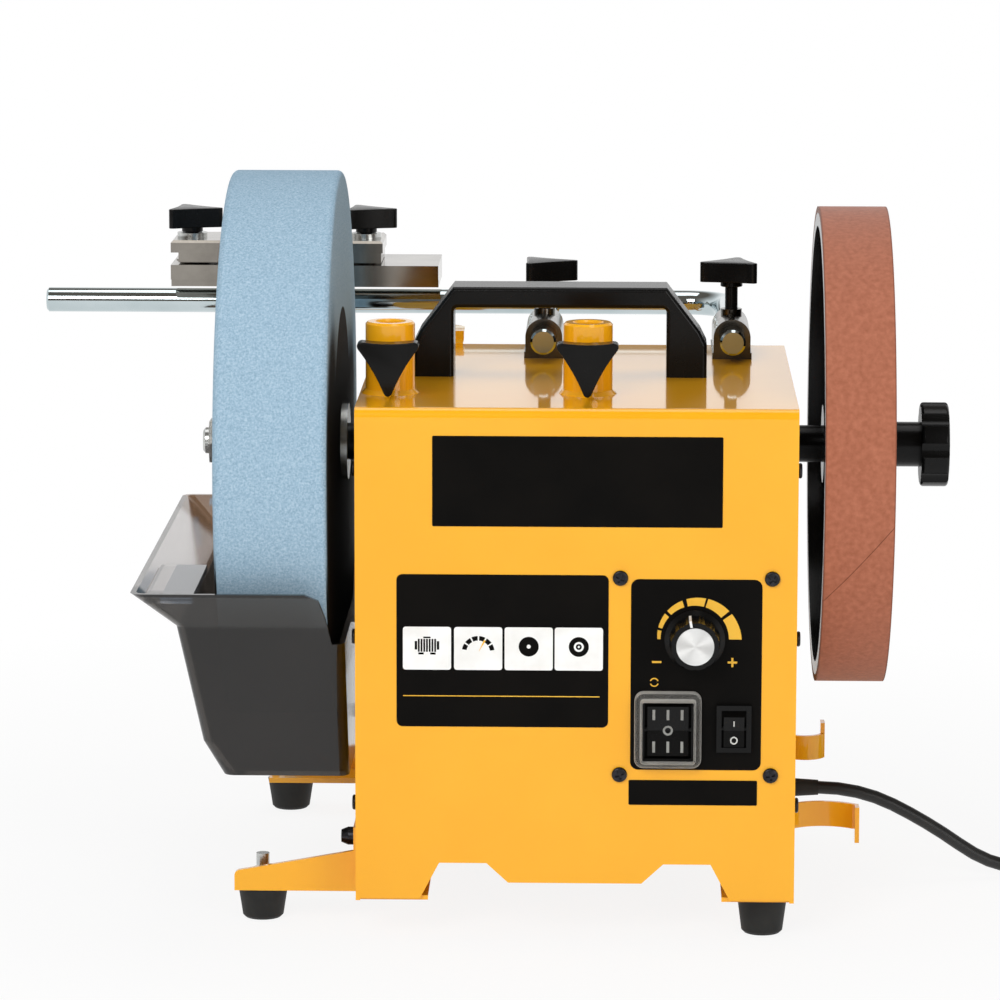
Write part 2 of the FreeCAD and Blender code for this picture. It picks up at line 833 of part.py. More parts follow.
def jig_bush():
    body = new_body("jig_bush")
    ring = sketch(body, "side", "-jig_left + guide_inset")
    circle(ring, "0", "0", "bush_radius")
    circle(ring, "0", "0", "bore")
    pad(body, ring, "guide_width")
    keep(place(body, "0", "support_reach", "rod_axis"), "jig_bush")


def jig_jaw():
    # clamp plate on a slightly shorter step
    body = new_body("jig_jaw")
    left = "-jig_left + pillar_inset - (jaw_width - pillar_pitch) / 2"
    right = "%s + jaw_width" % left
    step = sketch(body, "top")
    rectangle(step, "%s + jaw_step_left" % left, "%s - jaw_step_right" % right,
              "-jaw_depth / 2 + jaw_step_right", "jaw_depth / 2 - jaw_step_right")
    pad(body, step, "jaw_step")
    plate = sketch(body, "top", "jaw_step")
    rectangle(plate, left, right, "-jaw_depth / 2", "jaw_depth / 2")
    pad(body, plate, "jaw_thick - jaw_step")
    soften(body, "jaw_chamfer", lambda edge: near(edge.BoundBox.ZMin, "jaw_thick"), "Chamfer")
    holes = sketch(body, "top", "jaw_thick")
    for x in pillar_x:
        circle(holes, x, "0", "stud_radius + 2 * stud_clearance")
    pocket(body, holes)
    keep(place(body, "0", "support_reach", "jaw_bottom"), "jig_jaw")


def jig_washers():
    things = []
    for name, x in zip(("jig_washer_left", "jig_washer_right"), pillar_x):
        body = new_body(name)
        ring = sketch(body, "top")
        circle(ring, x, "0", "jig_washer_radius")
        circle(ring, x, "0", "stud_radius + 2 * stud_clearance")
        pad(body, ring, "jig_washer")
        things.append(place(body, "0", "support_reach", "jaw_bottom + jaw_thick"))
    group("jig_washers", things)


# Handle, ring tab, outriggers and feet

def carry_handle():
    body = new_body("carry_handle")
    profile = sketch(body, "front", "handle_depth")
    low = "handle_rise - handle_slant - handle_step"
    mid = "handle_rise - handle_slant"
    under = "handle_rise - handle_grip"
    outline(profile, [
        ("-handle_half", "0"), ("-handle_half", low), ("-handle_shoulder", mid),
        ("-handle_top_half", "handle_rise"), ("handle_top_half", "handle_rise"), ("handle_shoulder", mid),
        ("handle_half", low), ("handle_half", "0"), ("handle_gap_half", "0"), ("handle_gap_half", under),
        ("-handle_gap_half", under), ("-handle_gap_half", "0")])
    pad(body, profile, "handle_depth")
    soften(body, "handle_edge", lambda edge: runs_along(edge, "y") and near(edge.BoundBox.ZMin, under))
    soften(body, "handle_edge", lambda edge: (near(edge.BoundBox.YMin, "0") and near(edge.BoundBox.YMax, "0")
           or near(edge.BoundBox.YMin, "handle_depth") and near(edge.BoundBox.YMax, "handle_depth"))
           and edge.BoundBox.ZMax > num("handle_edge"))
    keep(place(body, "-handle_shift", "handle_front", "body_top"), "carry_handle")


def rear_ring_tab():
    body = new_body("rear_ring_tab")
    profile = sketch(body, "side", "-tab_width / 2")
    start = "back - tab_base"
    outline(profile, [
        (start, "0"), ("back", "0"), ("back", "tab_lift"), ("tab_back + tab_width / 2", "tab_lift"),
        ("tab_back + tab_width / 2", "tab_lift + sheet"), ("back - sheet", "tab_lift + sheet"),
        ("back - sheet", "sheet"), (start, "sheet")])
    pad(body, profile, "tab_width")
    soften(body, "tab_width / 2 - fit_gap", lambda edge: runs_along(edge, "z")
           and near(edge.BoundBox.YMin, "tab_back + tab_width / 2"))
    hole = sketch(body, "top", "tab_lift + sheet")
    circle(hole, "0", "tab_back", "tab_hole")
    pocket(body, hole, "sheet")
    keep(place(body, "-tab_centre", "0", "body_top"), "rear_ring_tab")


def outrigger_front():
    body = new_body("outrigger_front")
    front_edge = "front_arm_y - arm_depth / 2"
    back_edge = "front_arm_y + arm_depth / 2"
    plate = sketch(body, "top", "arm_bottom")
    rectangle(plate, "-half - arm_reach", "-half", front_edge, back_edge)
    pad(body, plate, "plate_thick")
    skirt = sketch(body, "front", "%s + plate_thick" % front_edge)
    outline(skirt, [
        ("-half - arm_reach", "arm_bottom"), ("-half", "arm_bottom"), ("-half", "arm_bottom + arm_root"),
        ("-half - arm_reach", "arm_bottom + arm_tip")])
    pad(body, skirt, "plate_thick")
    soften(body, "plate_thick", lambda edge: runs_along(edge, "y")
           and near(edge.BoundBox.XMax, "-half - arm_reach")
           and near(edge.BoundBox.ZMin, "arm_bottom + arm_tip"))
    flange = sketch(body, "side", "-half - plate_thick")
    rectangle(flange, front_edge, back_edge, "arm_bottom", "wall_flange_top")
    pad(body, flange, "plate_thick")
    holes = sketch(body, "top", "arm_bottom")
    circle(holes, front_foot_x, "front_arm_y", "bolt_radius + fit_gap")
    pocket(body, holes, "plate_thick", reverse=True)
    screw = sketch(body, "side", "-half - plate_thick")
    circle(screw, "front_arm_y", "screw_height", "bolt_radius + fit_gap")
    pocket(body, screw, "plate_thick", reverse=True)
    keep(place(body), "outrigger_front")


def outrigger_rear():
    # cranked bracket bolted to the back wall, so that the arm clears the trough
    body = new_body("outrigger_rear")
    front_edge = "rear_arm_y - arm_depth / 2"
    back_edge = "rear_arm_y + arm_depth / 2"
    web_left = "-half + rear_web_start"
    web_right = "%s + rear_web_width" % web_left
    plate = sketch(body, "top", "arm_bottom")
    outline(plate, [
        ("-half - arm_reach", front_edge), (web_left, front_edge), (web_left, "back"), (web_right, "back"),
        (web_right, back_edge), ("-half - arm_reach", back_edge)])
    pad(body, plate, "plate_thick")
    skirt = sketch(body, "front", back_edge)
    outline(skirt, [
        ("-half - arm_reach", "arm_bottom"), (web_right, "arm_bottom"), (web_right, "arm_bottom + arm_root"),
        ("-half - arm_reach", "arm_bottom + arm_tip")])
    pad(body, skirt, "plate_thick")
    flange = sketch(body, "front", "back + plate_thick")
    rectangle(flange, web_left, web_right, "arm_bottom", "wall_flange_top")
    pad(body, flange, "plate_thick")
    holes = sketch(body, "top", "arm_bottom")
    circle(holes, rear_foot_x, "rear_arm_y", "bolt_radius + fit_gap")
    pocket(body, holes, "plate_thick", reverse=True)
    keep(place(body), "outrigger_rear")


def rubber_foot(name, x, y, height):
    body = new_body(name)
    profile = sketch(body, "front")
    outline(profile, [
        ("bolt_radius + fit_gap", "foot_edge"), ("bolt_radius + fit_gap + foot_edge", "0"),
        ("foot_bottom_radius - foot_edge", "0"), ("foot_bottom_radius", "foot_edge"),
        ("foot_top_radius", height), ("bolt_radius + fit_gap", height)])
    revolve(body, profile, "V_Axis")
    place(body, x, y, "0")
    return body


def foot_bolt(name, x, y, seat):
    # stud that rises from the foot through the plate, with a hexagon nut on the plate
    body = new_body(name)
    across = "bolt_head_flats / sqrt(3)"
    nut = sketch(body, "top")
    outline(nut, [("%s * cos(%d)" % (across, angle), "%s * sin(%d)" % (across, angle))
                  for angle in range(0, 360, 60)])
    pad(body, nut, "bolt_head")
    for length, below in (("bolt_rise", False), ("bolt_stick", True)):
        stud = sketch(body, "top")
        circle(stud, "0", "0", "bolt_radius")
        pad(body, stud, length, reverse=below)
    place(body, x, y, seat)
    return body


def round_screw(name, head_radius, head, shank_radius, length, x, y, z, turn):
    # round head with a shank below it, on its own axis
    body = new_body(name)
    profile = sketch(body, "front")
    outline(profile, [
        ("0", "-(%s)" % length), (shank_radius, "-(%s)" % length), (shank_radius, "0"), (head_radius, "0"),
        (head_radius, "%s * 0.5" % head), ("%s * 0.7" % head_radius, head), ("0", head)])
    revolve(body, profile, "V_Axis")
    place(body, x, y, z, turn)
    return body


# Controls on the front

def speed_knob():
    body = new_body("speed_knob")
    profile = sketch(body, "front")
    outline(profile, [
        ("0", "-spindle_length"), ("spindle_radius", "-spindle_length"), ("spindle_radius", "dial_gap"),
        ("dial_radius", "dial_gap"), ("dial_radius", "dial_gap + dial_skirt / 2"),
        ("dial_grip_radius", "dial_gap + dial_skirt"), ("dial_grip_radius - dial_cap", "dial_reach"),
        ("0", "dial_reach")])
    revolve(body, profile, "V_Axis")
    flute = sketch(body, "top", "dial_gap + dial_skirt")
    circle(flute, "0", "dial_grip_radius + flute_radius - flute_sink", "flute_radius")
    cut = pocket(body, flute, reverse=True)
    polar(body, cut, flute, "N_Axis", "flute_count")
    keep(place(body, "dial_x", "front", "dial_height", ((1, 0, 0), 90)), "speed_knob")


def speed_knob_cap():
    body = new_body("speed_knob_cap")
    profile = sketch(body, "top", "dial_reach")
    circle(profile, "0", "0", "dial_cap_radius")
    pad(body, profile, "dial_cap")
    keep(place(body, "dial_x", "front", "dial_height", ((1, 0, 0), 90)), "speed_knob_cap")


def speed_pot():
    body = new_body("speed_pot")
    can = sketch(body, "top", "-sheet")
    circle(can, "0", "0", "pot_radius")
    pad(body, can, "pot_depth", reverse=True)
    neck = sketch(body, "top", "-sheet")
    circle(neck, "0", "0", "pot_bush_radius")
    pad(body, neck, "sheet")
    bored = sketch(body, "top")
    circle(bored, "0", "0", "spindle_radius + shaft_clearance")
    pocket(body, bored, "spindle_length + stud_tip_gap")
    keep(place(body, "dial_x", "front", "dial_height", ((1, 0, 0), 90)), "speed_pot")


def switch_body(name, x, height, wide, tall, depth):
    # bezel in front of the panel and a case behind it, with an open cavity for the rocker
    body = new_body(name)
    case = sketch(body, "front", depth)
    rectangle(case, "-(%s - bezel_border) / 2" % wide, "(%s - bezel_border) / 2" % wide,
              "-(%s - bezel_border) / 2" % tall, "(%s - bezel_border) / 2" % tall)
    pad(body, case, depth)
    bezel = sketch(body, "front")
    rectangle(bezel, "-%s / 2" % wide, "%s / 2" % wide, "-%s / 2" % tall, "%s / 2" % tall)
    pad(body, bezel, "bezel_thick")
    cavity = sketch(body, "front", "-bezel_thick")
    rectangle(cavity, "-%s / 2 + bezel_border" % wide, "%s / 2 - bezel_border" % wide,
              "-%s / 2 + bezel_border" % tall, "%s / 2 - bezel_border" % tall)
    pocket(body, cavity, "bezel_thick + cavity_depth")
    pivot = sketch(body, "side")
    circle(pivot, "0", "0", "rocker_pin + shaft_clearance")
    pocket(body, pivot, "%s - 2 * bezel_border + 2 * rocker_pin_in + knob_gap" % wide, symmetric=True)
    keep(place(body, x, "front", height), name)


def rocker(name, x, height, case_width, wide, tall, tilt):
    # saddle-shaped rocker that turns about X on two pins at the panel's face
    body = new_body(name)
    profile = sketch(body, "side", "-%s / 2" % wide)
    lobe = "-bezel_thick - rocker_lobe"
    outline(profile, [
        (lobe, "-%s / 2" % tall), ("rocker_back", "-%s / 2 + rocker_back" % tall),
        ("rocker_back", "%s / 2 - rocker_back" % tall), (lobe, "%s / 2" % tall),
        ("-bezel_thick - rocker_waist", "0")])
    pad(body, profile, wide)
    pin = sketch(body, "side")
    circle(pin, "0", "0", "rocker_pin")
    pad(body, pin, "%s - 2 * bezel_border + 2 * rocker_pin_in" % case_width, symmetric=True)
    keep(place(body, x, "front", height, ((1, 0, 0), tilt)), name)


def switch_boot():
    body = new_body("switch_boot")
    outer = sketch(body, "front")
    rectangle(outer, "-boot_width / 2", "boot_width / 2", "-boot_tall / 2", "boot_tall / 2")
    pad(body, outer, "boot_reach")
    soften(body, "boot_edge", lambda edge: runs_along(edge, "y"))
    soften(body, "boot_wall", lambda edge: near(edge.BoundBox.YMax, "-boot_reach"))
    inner = sketch(body, "front")
    rectangle(inner, "-boot_width / 2 + boot_wall", "boot_width / 2 - boot_wall",
              "-boot_tall / 2 + boot_wall", "boot_tall / 2 - boot_wall")
    pocket(body, inner, "boot_reach - boot_wall", reverse=True)
    keep(place(body, "reverse_x", "front", "reverse_height"), "switch_boot")


# Cord gland and hooks

def cord_gland():
    body = new_body("cord_gland")
    profile = sketch(body, "front")
    outline(profile, [
        ("-sheet - gland_inside", "cord_radius"), ("-sheet - gland_inside", "gland_body_radius"),
        ("0", "gland_body_radius"), ("0", "gland_flange_radius"),
        ("gland_flange / 2", "gland_flange_radius"), ("gland_flange", "gland_body_radius"),
        ("gland_flange", "gland_tip_radius + cord_radius / 4"),
        ("gland_flange + gland_tail", "gland_tip_radius"), ("gland_flange + gland_tail", "cord_radius")])
    revolve(body, profile, "H_Axis")
    keep(place(body, "half", "gland_y", "gland_height"), "cord_gland")


def cord_hook(name, y, low, reach, bow, side):
    # strip bent to an arc in plan, with a foot on the wall and a tab at its free end
    body = new_body(name)
    radius = "((%s / 2) ^ 2 + (%s) ^ 2) / (2 * %s)" % (reach, bow, bow)
    centre = ("%s / 2" % reach, "%d * (%s - %s)" % (side, bow, radius))
    ring = sketch(body, "top")
    circle(ring, centre[0], centre[1], radius)
    circle(ring, centre[0], centre[1], "%s - hook_strip" % radius)
    pad(body, ring, "hook_tall")
    trim = sketch(body, "top")
    span = "4 * %s" % radius
    rectangle(trim, "-(%s)" % span, span, "0", "%d * -(%s)" % (side, span))
    pocket(body, trim, reverse=True)
    foot = sketch(body, "top")
    rectangle(foot, "0", "hook_strip", "%d * hook_strip / 2" % side, "%d * -hook_foot" % side)
    pad(body, foot, "hook_tall")
    tab = sketch(body, "top", "0" if side < 0 else "-hook_tab")
    rectangle(tab, "%s - hook_strip" % reach, reach,
              "%d * hook_strip / 2" % side, "%d * -hook_foot / 2" % side)
    pad(body, tab, "hook_tall + hook_tab")
    keep(place(body, "half", y, low), name)


# Shaft, stone and honing wheel, all turned about the shaft axis

def turned(name, points):
    body = new_body(name)
    profile = sketch(body, "front")
    outline(profile, points)
    revolve(body, profile, "H_Axis")
    keep(place(body, z="shaft_height"), name)
    return body


def ring_points(left, right, inner, outer):
    return [(left, inner), (right, inner), (right, outer), (left, outer)]


def main_shaft():
    left = "stone_left - washer_thick - nut_thick - shaft_overhang"
    right = "honing_right + neck_length - 1"
    turned("main_shaft", [
        (left, "0"), (right, "0"), (right, "shaft_radius - 1"), ("%s - 1" % right, "shaft_radius"),
        ("%s + 1" % left, "shaft_radius"), (left, "shaft_radius - 1")])


def grinding_stone():
    body = turned("grinding_stone", ring_points(
        "stone_left", "stone_right", "shaft_radius + fit_gap", "stone_radius"))
    soften(body, "stone_edge", lambda edge: near(edge.BoundBox.ZMax, "stone_radius")
           and near(edge.BoundBox.XLength, "0"))


def stone_washers():
    things = []
    for name, left in (("outer_washer", "stone_left - washer_thick"), ("inner_washer", "stone_right")):
        body = new_body(name)
        profile = sketch(body, "front")
        right = "%s + washer_thick" % left
        outline(profile, ring_points(left, right, "shaft_radius + fit_gap", "washer_radius"))
        revolve(body, profile, "H_Axis")
        things.append(place(body, z="shaft_height"))
    group("stone_washers", things)


def stone_nut():
    body = new_body("stone_nut")
    profile = sketch(body, "side", "stone_left - washer_thick - nut_thick")
    across = "nut_flats / sqrt(3)"
    outline(profile, [("%s * cos(%d)" % (across, angle), "%s * sin(%d)" % (across, angle))
                      for angle in range(0, 360, 60)])
    circle(profile, "0", "0", "shaft_radius + fit_gap")
    pad(body, profile, "nut_thick")
    keep(place(body, z="shaft_height"), "stone_nut")


def shaft_spacers():
    things = []
    for name, left, right in (
            ("stone_spacer", "stone_right + washer_thick", "-half - wall_gap"),
            ("honing_spacer", "half + wall_gap", "honing_left + hub_recess")):
        body = new_body(name)
        profile = sketch(body, "front")
        outline(profile, ring_points(left, right, "shaft_radius + fit_gap", "spacer_radius"))
        revolve(body, profile, "H_Axis")
        things.append(place(body, z="shaft_height"))
    group("shaft_spacers", things)


def shaft_bushes():
    things = []
    for name, side in (("left_bush", -1), ("right_bush", 1)):
        body = new_body(name)
        profile = sketch(body, "front")
        wall = "%d * half" % side
        face = "%d * (half - sheet)" % side
        back = "%d * bush_in" % side
        end = "%d * (half - bush_length)" % side
        outline(profile, [
            (wall, "shaft_radius + shaft_clearance"), (wall, "bush_outer"), (face, "bush_outer"),
            (face, "bush_flange_radius"), (back, "bush_flange_radius"), (back, "bush_outer"),
            (end, "bush_outer"), (end, "shaft_radius + shaft_clearance")])
        revolve(body, profile, "H_Axis")
        things.append(place(body, z="shaft_height"))
    group("shaft_bushes", things)


def honing_wheel():
    inner_rim = "honing_radius - leather_thick - rim_thick"
    web_left = "honing_left + (honing_width - web_thick) / 2"
    web_right = "%s + web_thick" % web_left
    turned("honing_hub", [
        ("honing_left + hub_recess", "shaft_radius + fit_gap"), ("honing_left + hub_recess", "hub_radius"),
        ("%s - web_step" % web_left, "hub_radius"), ("%s - web_step" % web_left, "web_step_radius"),
        (web_left, "web_step_radius"), (web_left, inner_rim), ("honing_left", inner_rim),
        ("honing_left", "honing_radius - leather_thick"), ("honing_right", "honing_radius - leather_thick"),
        ("honing_right", inner_rim), (web_right, inner_rim), (web_right, "web_step_radius"),
        ("%s + web_step" % web_right, "web_step_radius"), ("%s + web_step" % web_right, "hub_radius"),
        ("honing_right", "hub_radius"), ("honing_right", "shaft_radius + fit_gap")])
    turned("honing_leather", ring_points(
        "honing_left", "honing_right", "honing_radius - leather_thick", "honing_radius"))


def honing_knob():
    body = new_body("honing_knob")
    profile = sketch(body, "front")
    grip_left = "honing_right + neck_length"
    outline(profile, [
        ("honing_right + knob_gap", "shaft_radius + shaft_clearance"),
        ("honing_right + knob_gap", "neck_radius"),
        (grip_left, "neck_radius"), (grip_left, "grip_radius"), ("knob_right", "grip_radius"),
        ("knob_right", "0"), (grip_left, "0"), (grip_left, "shaft_radius + shaft_clearance")])
    revolve(body, profile, "H_Axis")
    soften(body, "grip_edge", lambda edge: near(edge.BoundBox.ZMax, "grip_radius")
           and near(edge.BoundBox.XLength, "0"))
    scallop = sketch(body, "side", grip_left)
    circle(scallop, "0", "grip_radius + grip_lobe_radius - grip_lobe_sink", "grip_lobe_radius")
    cut = pocket(body, scallop, "grip_thick", reverse=True)
    polar(body, cut, scallop, "N_Axis", "grip_lobes")
    keep(place(body, z="shaft_height"), "honing_knob")


# Motor and belt drive

def motor():
    body = new_body("motor")
    profile = sketch(body, "front")
    outline(profile, [
        ("motor_left", "0"), ("motor_left", "motor_radius - bend"), ("motor_left + bend", "motor_radius"),
        ("motor_right - bend", "motor_radius"), ("motor_right", "motor_radius - bend"),
        ("motor_right", "motor_boss_radius"), ("motor_right + motor_boss", "motor_boss_radius"),
        ("motor_right + motor_boss", "motor_shaft_radius + shaft_clearance"),
        ("motor_right - motor_boss", "motor_shaft_radius + shaft_clearance"),
        ("motor_right - motor_boss", "0")])
    revolve(body, profile, "H_Axis")
    keep(place(body, "0", "motor_y", "motor_height"), "motor")


def motor_shaft():
    body = new_body("motor_shaft")
    profile = sketch(body, "front")
    left = "motor_right - motor_boss + knob_gap"
    right = "belt_left + belt_width + 2 * pulley_cheek + shaft_overhang"
    outline(profile, [(left, "0"), (right, "0"), (right, "motor_shaft_radius"), (left, "motor_shaft_radius")])
    revolve(body, profile, "H_Axis")
    keep(place(body, "0", "motor_y", "motor_height"), "motor_shaft")


def motor_cradle():
    body = new_body("motor_cradle")
    block = sketch(body, "top")
    for left in ("motor_left + motor_boss", "motor_right - motor_boss - cradle_thick"):
        rectangle(block, left, "%s + cradle_thick" % left, "-cradle_width / 2", "cradle_width / 2")
    rise = "motor_height - floor_height - sheet"
    base = sketch(body, "top")
    rectangle(base, "motor_left + motor_boss", "motor_right - motor_boss",
              "-cradle_width / 2", "cradle_width / 2")
    pad(body, base, "plate_thick")
    pad(body, block, "%s - motor_radius / 2" % rise)
    seat = sketch(body, "side", "motor_left")
    circle(seat, "0", rise, "motor_radius + cradle_gap")
    pocket(body, seat, "motor_length", reverse=True)
    keep(place(body, "0", "motor_y", "floor_height + sheet"), "motor_cradle")


def pulley(name, radius, bore_radius, y, height):
    body = new_body(name)
    profile = sketch(body, "front")
    left = "belt_left"
    right = "belt_left + belt_width + 2 * pulley_cheek"
    outline(profile, [
        (left, bore_radius), (left, "%s + pulley_flange" % radius),
        ("%s + pulley_cheek" % left, "%s + pulley_flange" % radius), ("%s + pulley_cheek" % left, radius),
        ("%s - pulley_cheek" % right, radius), ("%s - pulley_cheek" % right, "%s + pulley_flange" % radius),
        (right, "%s + pulley_flange" % radius), (right, bore_radius)])
    revolve(body, profile, "H_Axis")
    keep(place(body, "0", y, height), name)


def belt_loop(profile, extra):
    # two arcs joined by their outer tangents
    first = profile.GeometryCount
    big = num("shaft_pulley_radius + belt_gap + %s" % extra)
    small = num("motor_pulley_radius + belt_gap + %s" % extra)
    top = Vector(0, num("shaft_height"), 0)
    low = Vector(num("motor_y"), num("motor_height"), 0)
    way = low - top
    lean = math.acos((big - small) / way.Length)
    heading = math.atan2(way.y, way.x)
    spots = []
    for centre, radius in ((top, big), (low, small)):
        for side in (1, -1):
            angle = heading + side * lean
            spots.append(centre + Vector(math.cos(angle), math.sin(angle), 0) * radius)
    far_top = top - way / way.Length * big
    far_low = low + way / way.Length * small
    profile.addGeometry(Part.Arc(spots[0], far_top, spots[1]), False)
    profile.addGeometry(Part.LineSegment(spots[1], spots[3]), False)
    profile.addGeometry(Part.Arc(spots[3], far_low, spots[2]), False)
    profile.addGeometry(Part.LineSegment(spots[2], spots[0]), False)
    fix_point(profile, first, 3, "0", "shaft_height")
    fix_point(profile, first + 2, 3, "motor_y", "motor_height")
    for edge, radius in ((first, "shaft_pulley_radius"), (first + 2, "motor_pulley_radius")):
        text = "%s + belt_gap + %s" % (radius, extra)
        index = profile.addConstraint(Sketcher.Constraint("Radius", edge, num(text)))
        profile.setExpression("Constraints[%d]" % index, bind(text))
    for arc, line in ((first, first + 1), (first, first + 3), (first + 2, first + 1), (first + 2, first + 3)):
        ends = [(a, b) for a in (1, 2) for b in (1, 2)
                if (profile.getPoint(arc, a) - profile.getPoint(line, b)).Length < 1e-6]
        arc_end, line_end = ends[0]
        profile.addConstraint(Sketcher.Constraint("Tangent", arc, arc_end, line, line_end))


def drive_belt():
    body = new_body("drive_belt")
    profile = sketch(body, "side", "belt_left + pulley_cheek + fit_gap")
    belt_loop(profile, "belt_thick")
    belt_loop(profile, "0")
    pad(body, profile, "belt_width - 2 * fit_gap")
    keep(place(body), "drive_belt")


def control_board():
    body = new_body("control_board")
    plate = sketch(body, "front", "front + sheet + board_post + board_thick")
    rectangle(plate, "board_left", "board_left + board_width", "board_low", "board_low + board_tall")
    pad(body, plate, "board_thick")
    posts = sketch(body, "front", "front + sheet + board_post")
    inset = "2 * board_post_radius"
    for x in ("board_left + %s" % inset, "board_left + board_width - %s" % inset):
        for z in ("board_low + %s" % inset, "board_low + board_tall - %s" % inset):
            circle(posts, x, z, "board_post_radius")
    pad(body, posts, "board_post")
    keep(place(body), "control_board")


# Water trough and its hanger

def water_trough():
    body = new_body("water_trough")
    levels = [
        ("trough_floor", "trough_floor_left", "trough_floor_half", "trough_floor_half"),
        ("trough_chamfer_top", "trough_chamfer_left", chamfer_half, chamfer_half),
        ("trough_shoulder", "trough_shoulder_left", "trough_shoulder_half", "trough_shoulder_half"),
        ("trough_rim", "trough_rim_left", "trough_rim_half", "trough_rim_back")]

    def sections(inset, first_lift):
        made = []
        for index, (height, left, ahead, behind) in enumerate(levels):
            lift = first_lift if index == 0 else "0"
            profile = sketch(body, "top", "%s + %s" % (height, lift))
            rounded(profile, "-%s + %s" % (left, inset), "-trough_right - %s" % inset,
                    "-(%s) + %s" % (ahead, inset), "%s - %s" % (behind, inset),
                    "trough_corner - %s / 2" % inset)
            made.append(profile)
        return made

    outside = sections("0", "0")
    shell = body.newObject("PartDesign::AdditiveLoft", "water_trough_outside")
    shell.Profile = outside[0]
    shell.Sections = outside[1:]
    shell.Ruled = True
    doc.recompute()
    before = body.Shape.Volume
    inside = sections("trough_wall", "trough_wall")
    hollow = body.newObject("PartDesign::SubtractiveLoft", "water_trough_inside")
    hollow.Profile = inside[0]
    hollow.Sections = inside[1:]
    hollow.Ruled = True
    doc.recompute()
    if body.Shape.Volume >= before:
        raise RuntimeError("the trough is not hollow")
    dip = sketch(body, "front")
    outline(dip, [
        ("-trough_cut_top", "trough_rim + trough_wall"), ("-trough_cut_top", "trough_rim"),
        ("-trough_cut_top + trough_cut_round", "trough_rim - trough_cut_round / 2"),
        ("-trough_cut - trough_wall", "trough_rim - 2 * trough_cut_round"), ("-trough_cut", "trough_low_rim"),
        ("-half", "trough_low_rim"), ("-half", "trough_rim + trough_wall")])
    pocket(body, dip, symmetric=True)
    lip = sketch(body, "top", "trough_low_rim - hanger_lip_thick")
    rectangle(lip, "-trough_right - trough_wall / 2", "-trough_right + hanger_lip",
              "-hanger_width / 2", "hanger_width / 2")
    pad(body, lip, "hanger_lip_thick")
    ledge = sketch(body, "top", "trough_ledge_height - trough_wall")
    outline(ledge, [
        (ledge_left, "-%s" % ledge_front), ("-trough_ledge_reach", "-%s" % ledge_front),
        ("-trough_ledge_reach", "-%s + trough_ledge_depth" % ledge_front),
        (ledge_left, "-%s + trough_ledge_depth" % ledge_front)])
    pad(body, ledge, "trough_wall")
    keep(place(body), "water_trough")


def trough_hanger():
    body = new_body("trough_hanger")
    plate = sketch(body, "side", "-half - hanger_thick")
    top = "trough_low_rim - hanger_lip_thick - hanger_gap"
    rectangle(plate, "-hanger_width / 2", "hanger_width / 2", "%s - hanger_tall" % top, top)
    pad(body, plate, "hanger_thick")
    keep(place(body), "trough_hanger")


# Cord, coil and plug

def unit(way):
    return way / way.Length


def biarc(start, start_way, end, end_way):
    # two tangent arcs from one point and heading to another
    chord = end - start
    both = start_way + end_way
    spread = 2 * (1 - start_way.dot(end_way))
    reach = (-chord.dot(both) + math.sqrt(chord.dot(both) ** 2 + spread * chord.dot(chord))) / spread
    first = start + start_way * reach
    second = end - end_way * reach
    middle = (first + second) / 2
    edges = []
    for head, corner, tail in ((start, first, middle), (middle, second, end)):
        half_way = (head + tail) / 2
        turn = unit(corner - head).getAngle(unit(tail - corner))
        bulge = (tail - head).Length / 2 * math.tan(turn / 4)
        edges.append(Part.Arc(head, half_way + unit(corner - half_way) * bulge, tail).toShape())
    return edges


def swept(edges, start, heading):
    # round cord along a path of tangent edges
    profile = Part.Wire([Part.Circle(start, heading, num("cord_radius")).toShape()])
    shell = Part.BRepOffsetAPI.MakePipeShell(Part.Wire(edges))
    shell.add(profile)
    shell.build()
    shell.makeSolid()
    return shell.shape()


def rounded_route(points):
    # straight runs joined by tangent arcs as large as the runs allow
    edges = []
    radii = []
    last = points[0]
    for before, corner, after in zip(points, points[1:], points[2:]):
        arrive = corner - before
        leave = after - corner
        turn = arrive.getAngle(leave)
        cut = 0.45 * min(arrive.Length, leave.Length)
        radii.append(cut / math.tan(turn / 2))
        head = corner - unit(arrive) * cut
        tail = corner + unit(leave) * cut
        half_way = (head + tail) / 2
        bulge = (tail - head).Length / 2 * math.tan(turn / 4)
        edges.append(Part.LineSegment(last, head).toShape())
        edges.append(Part.Arc(head, half_way + unit(corner - half_way) * bulge, tail).toShape())
        last = tail
    edges.append(Part.LineSegment(last, points[-1]).toShape())
    return edges, radii


def cord_run(name, points):
    edges, radii = rounded_route(points)
    solid = swept(edges, points[0], unit(points[1] - points[0]))
    length = sum(edge.Length for edge in edges)
    print(name, "length", round(length, 1), "radii", [round(radius, 1) for radius in radii],
          "volume share", round(solid.Volume / (math.pi * num("cord_radius") ** 2 * length), 4))
    fixed_shape(name, solid)
    return length


def coil_spot(turn):
    # place of the cord after a number of turns: it spirals in, climbs a layer, and spirals out
    per_layer = num("coil_turns_per_layer")
    pitch = num("coil_pitch")
    layer = 0
    radius = num("coil_outer")
    height = num("cord_rest")
    inward = -1
    left = turn
    climb = 0.5
    while left > per_layer and layer < num("coil_layers") - 1:
        radius += inward * pitch * per_layer
        left -= per_layer
        share = min(left, climb)
        radius += inward * pitch / (2 * math.pi) * math.sin(math.pi * share / climb)
        height += pitch * (1 - math.cos(math.pi * share / climb)) / 2
        left -= share
        if share < climb:
            left = 0
            break
        layer += 1
        inward = -inward
    radius += inward * pitch * left
    angle = 2 * math.pi * turn - math.pi / 2
    middle_y = num("coil_front + coil_outer")
    return Vector(num("coil_x") + radius * math.cos(angle), middle_y + radius * math.sin(angle), height)


def coil_heading(turn, total):
    step = 0.002
    return unit(coil_spot(min(turn + step, total)) - coil_spot(max(turn - step, 0)))


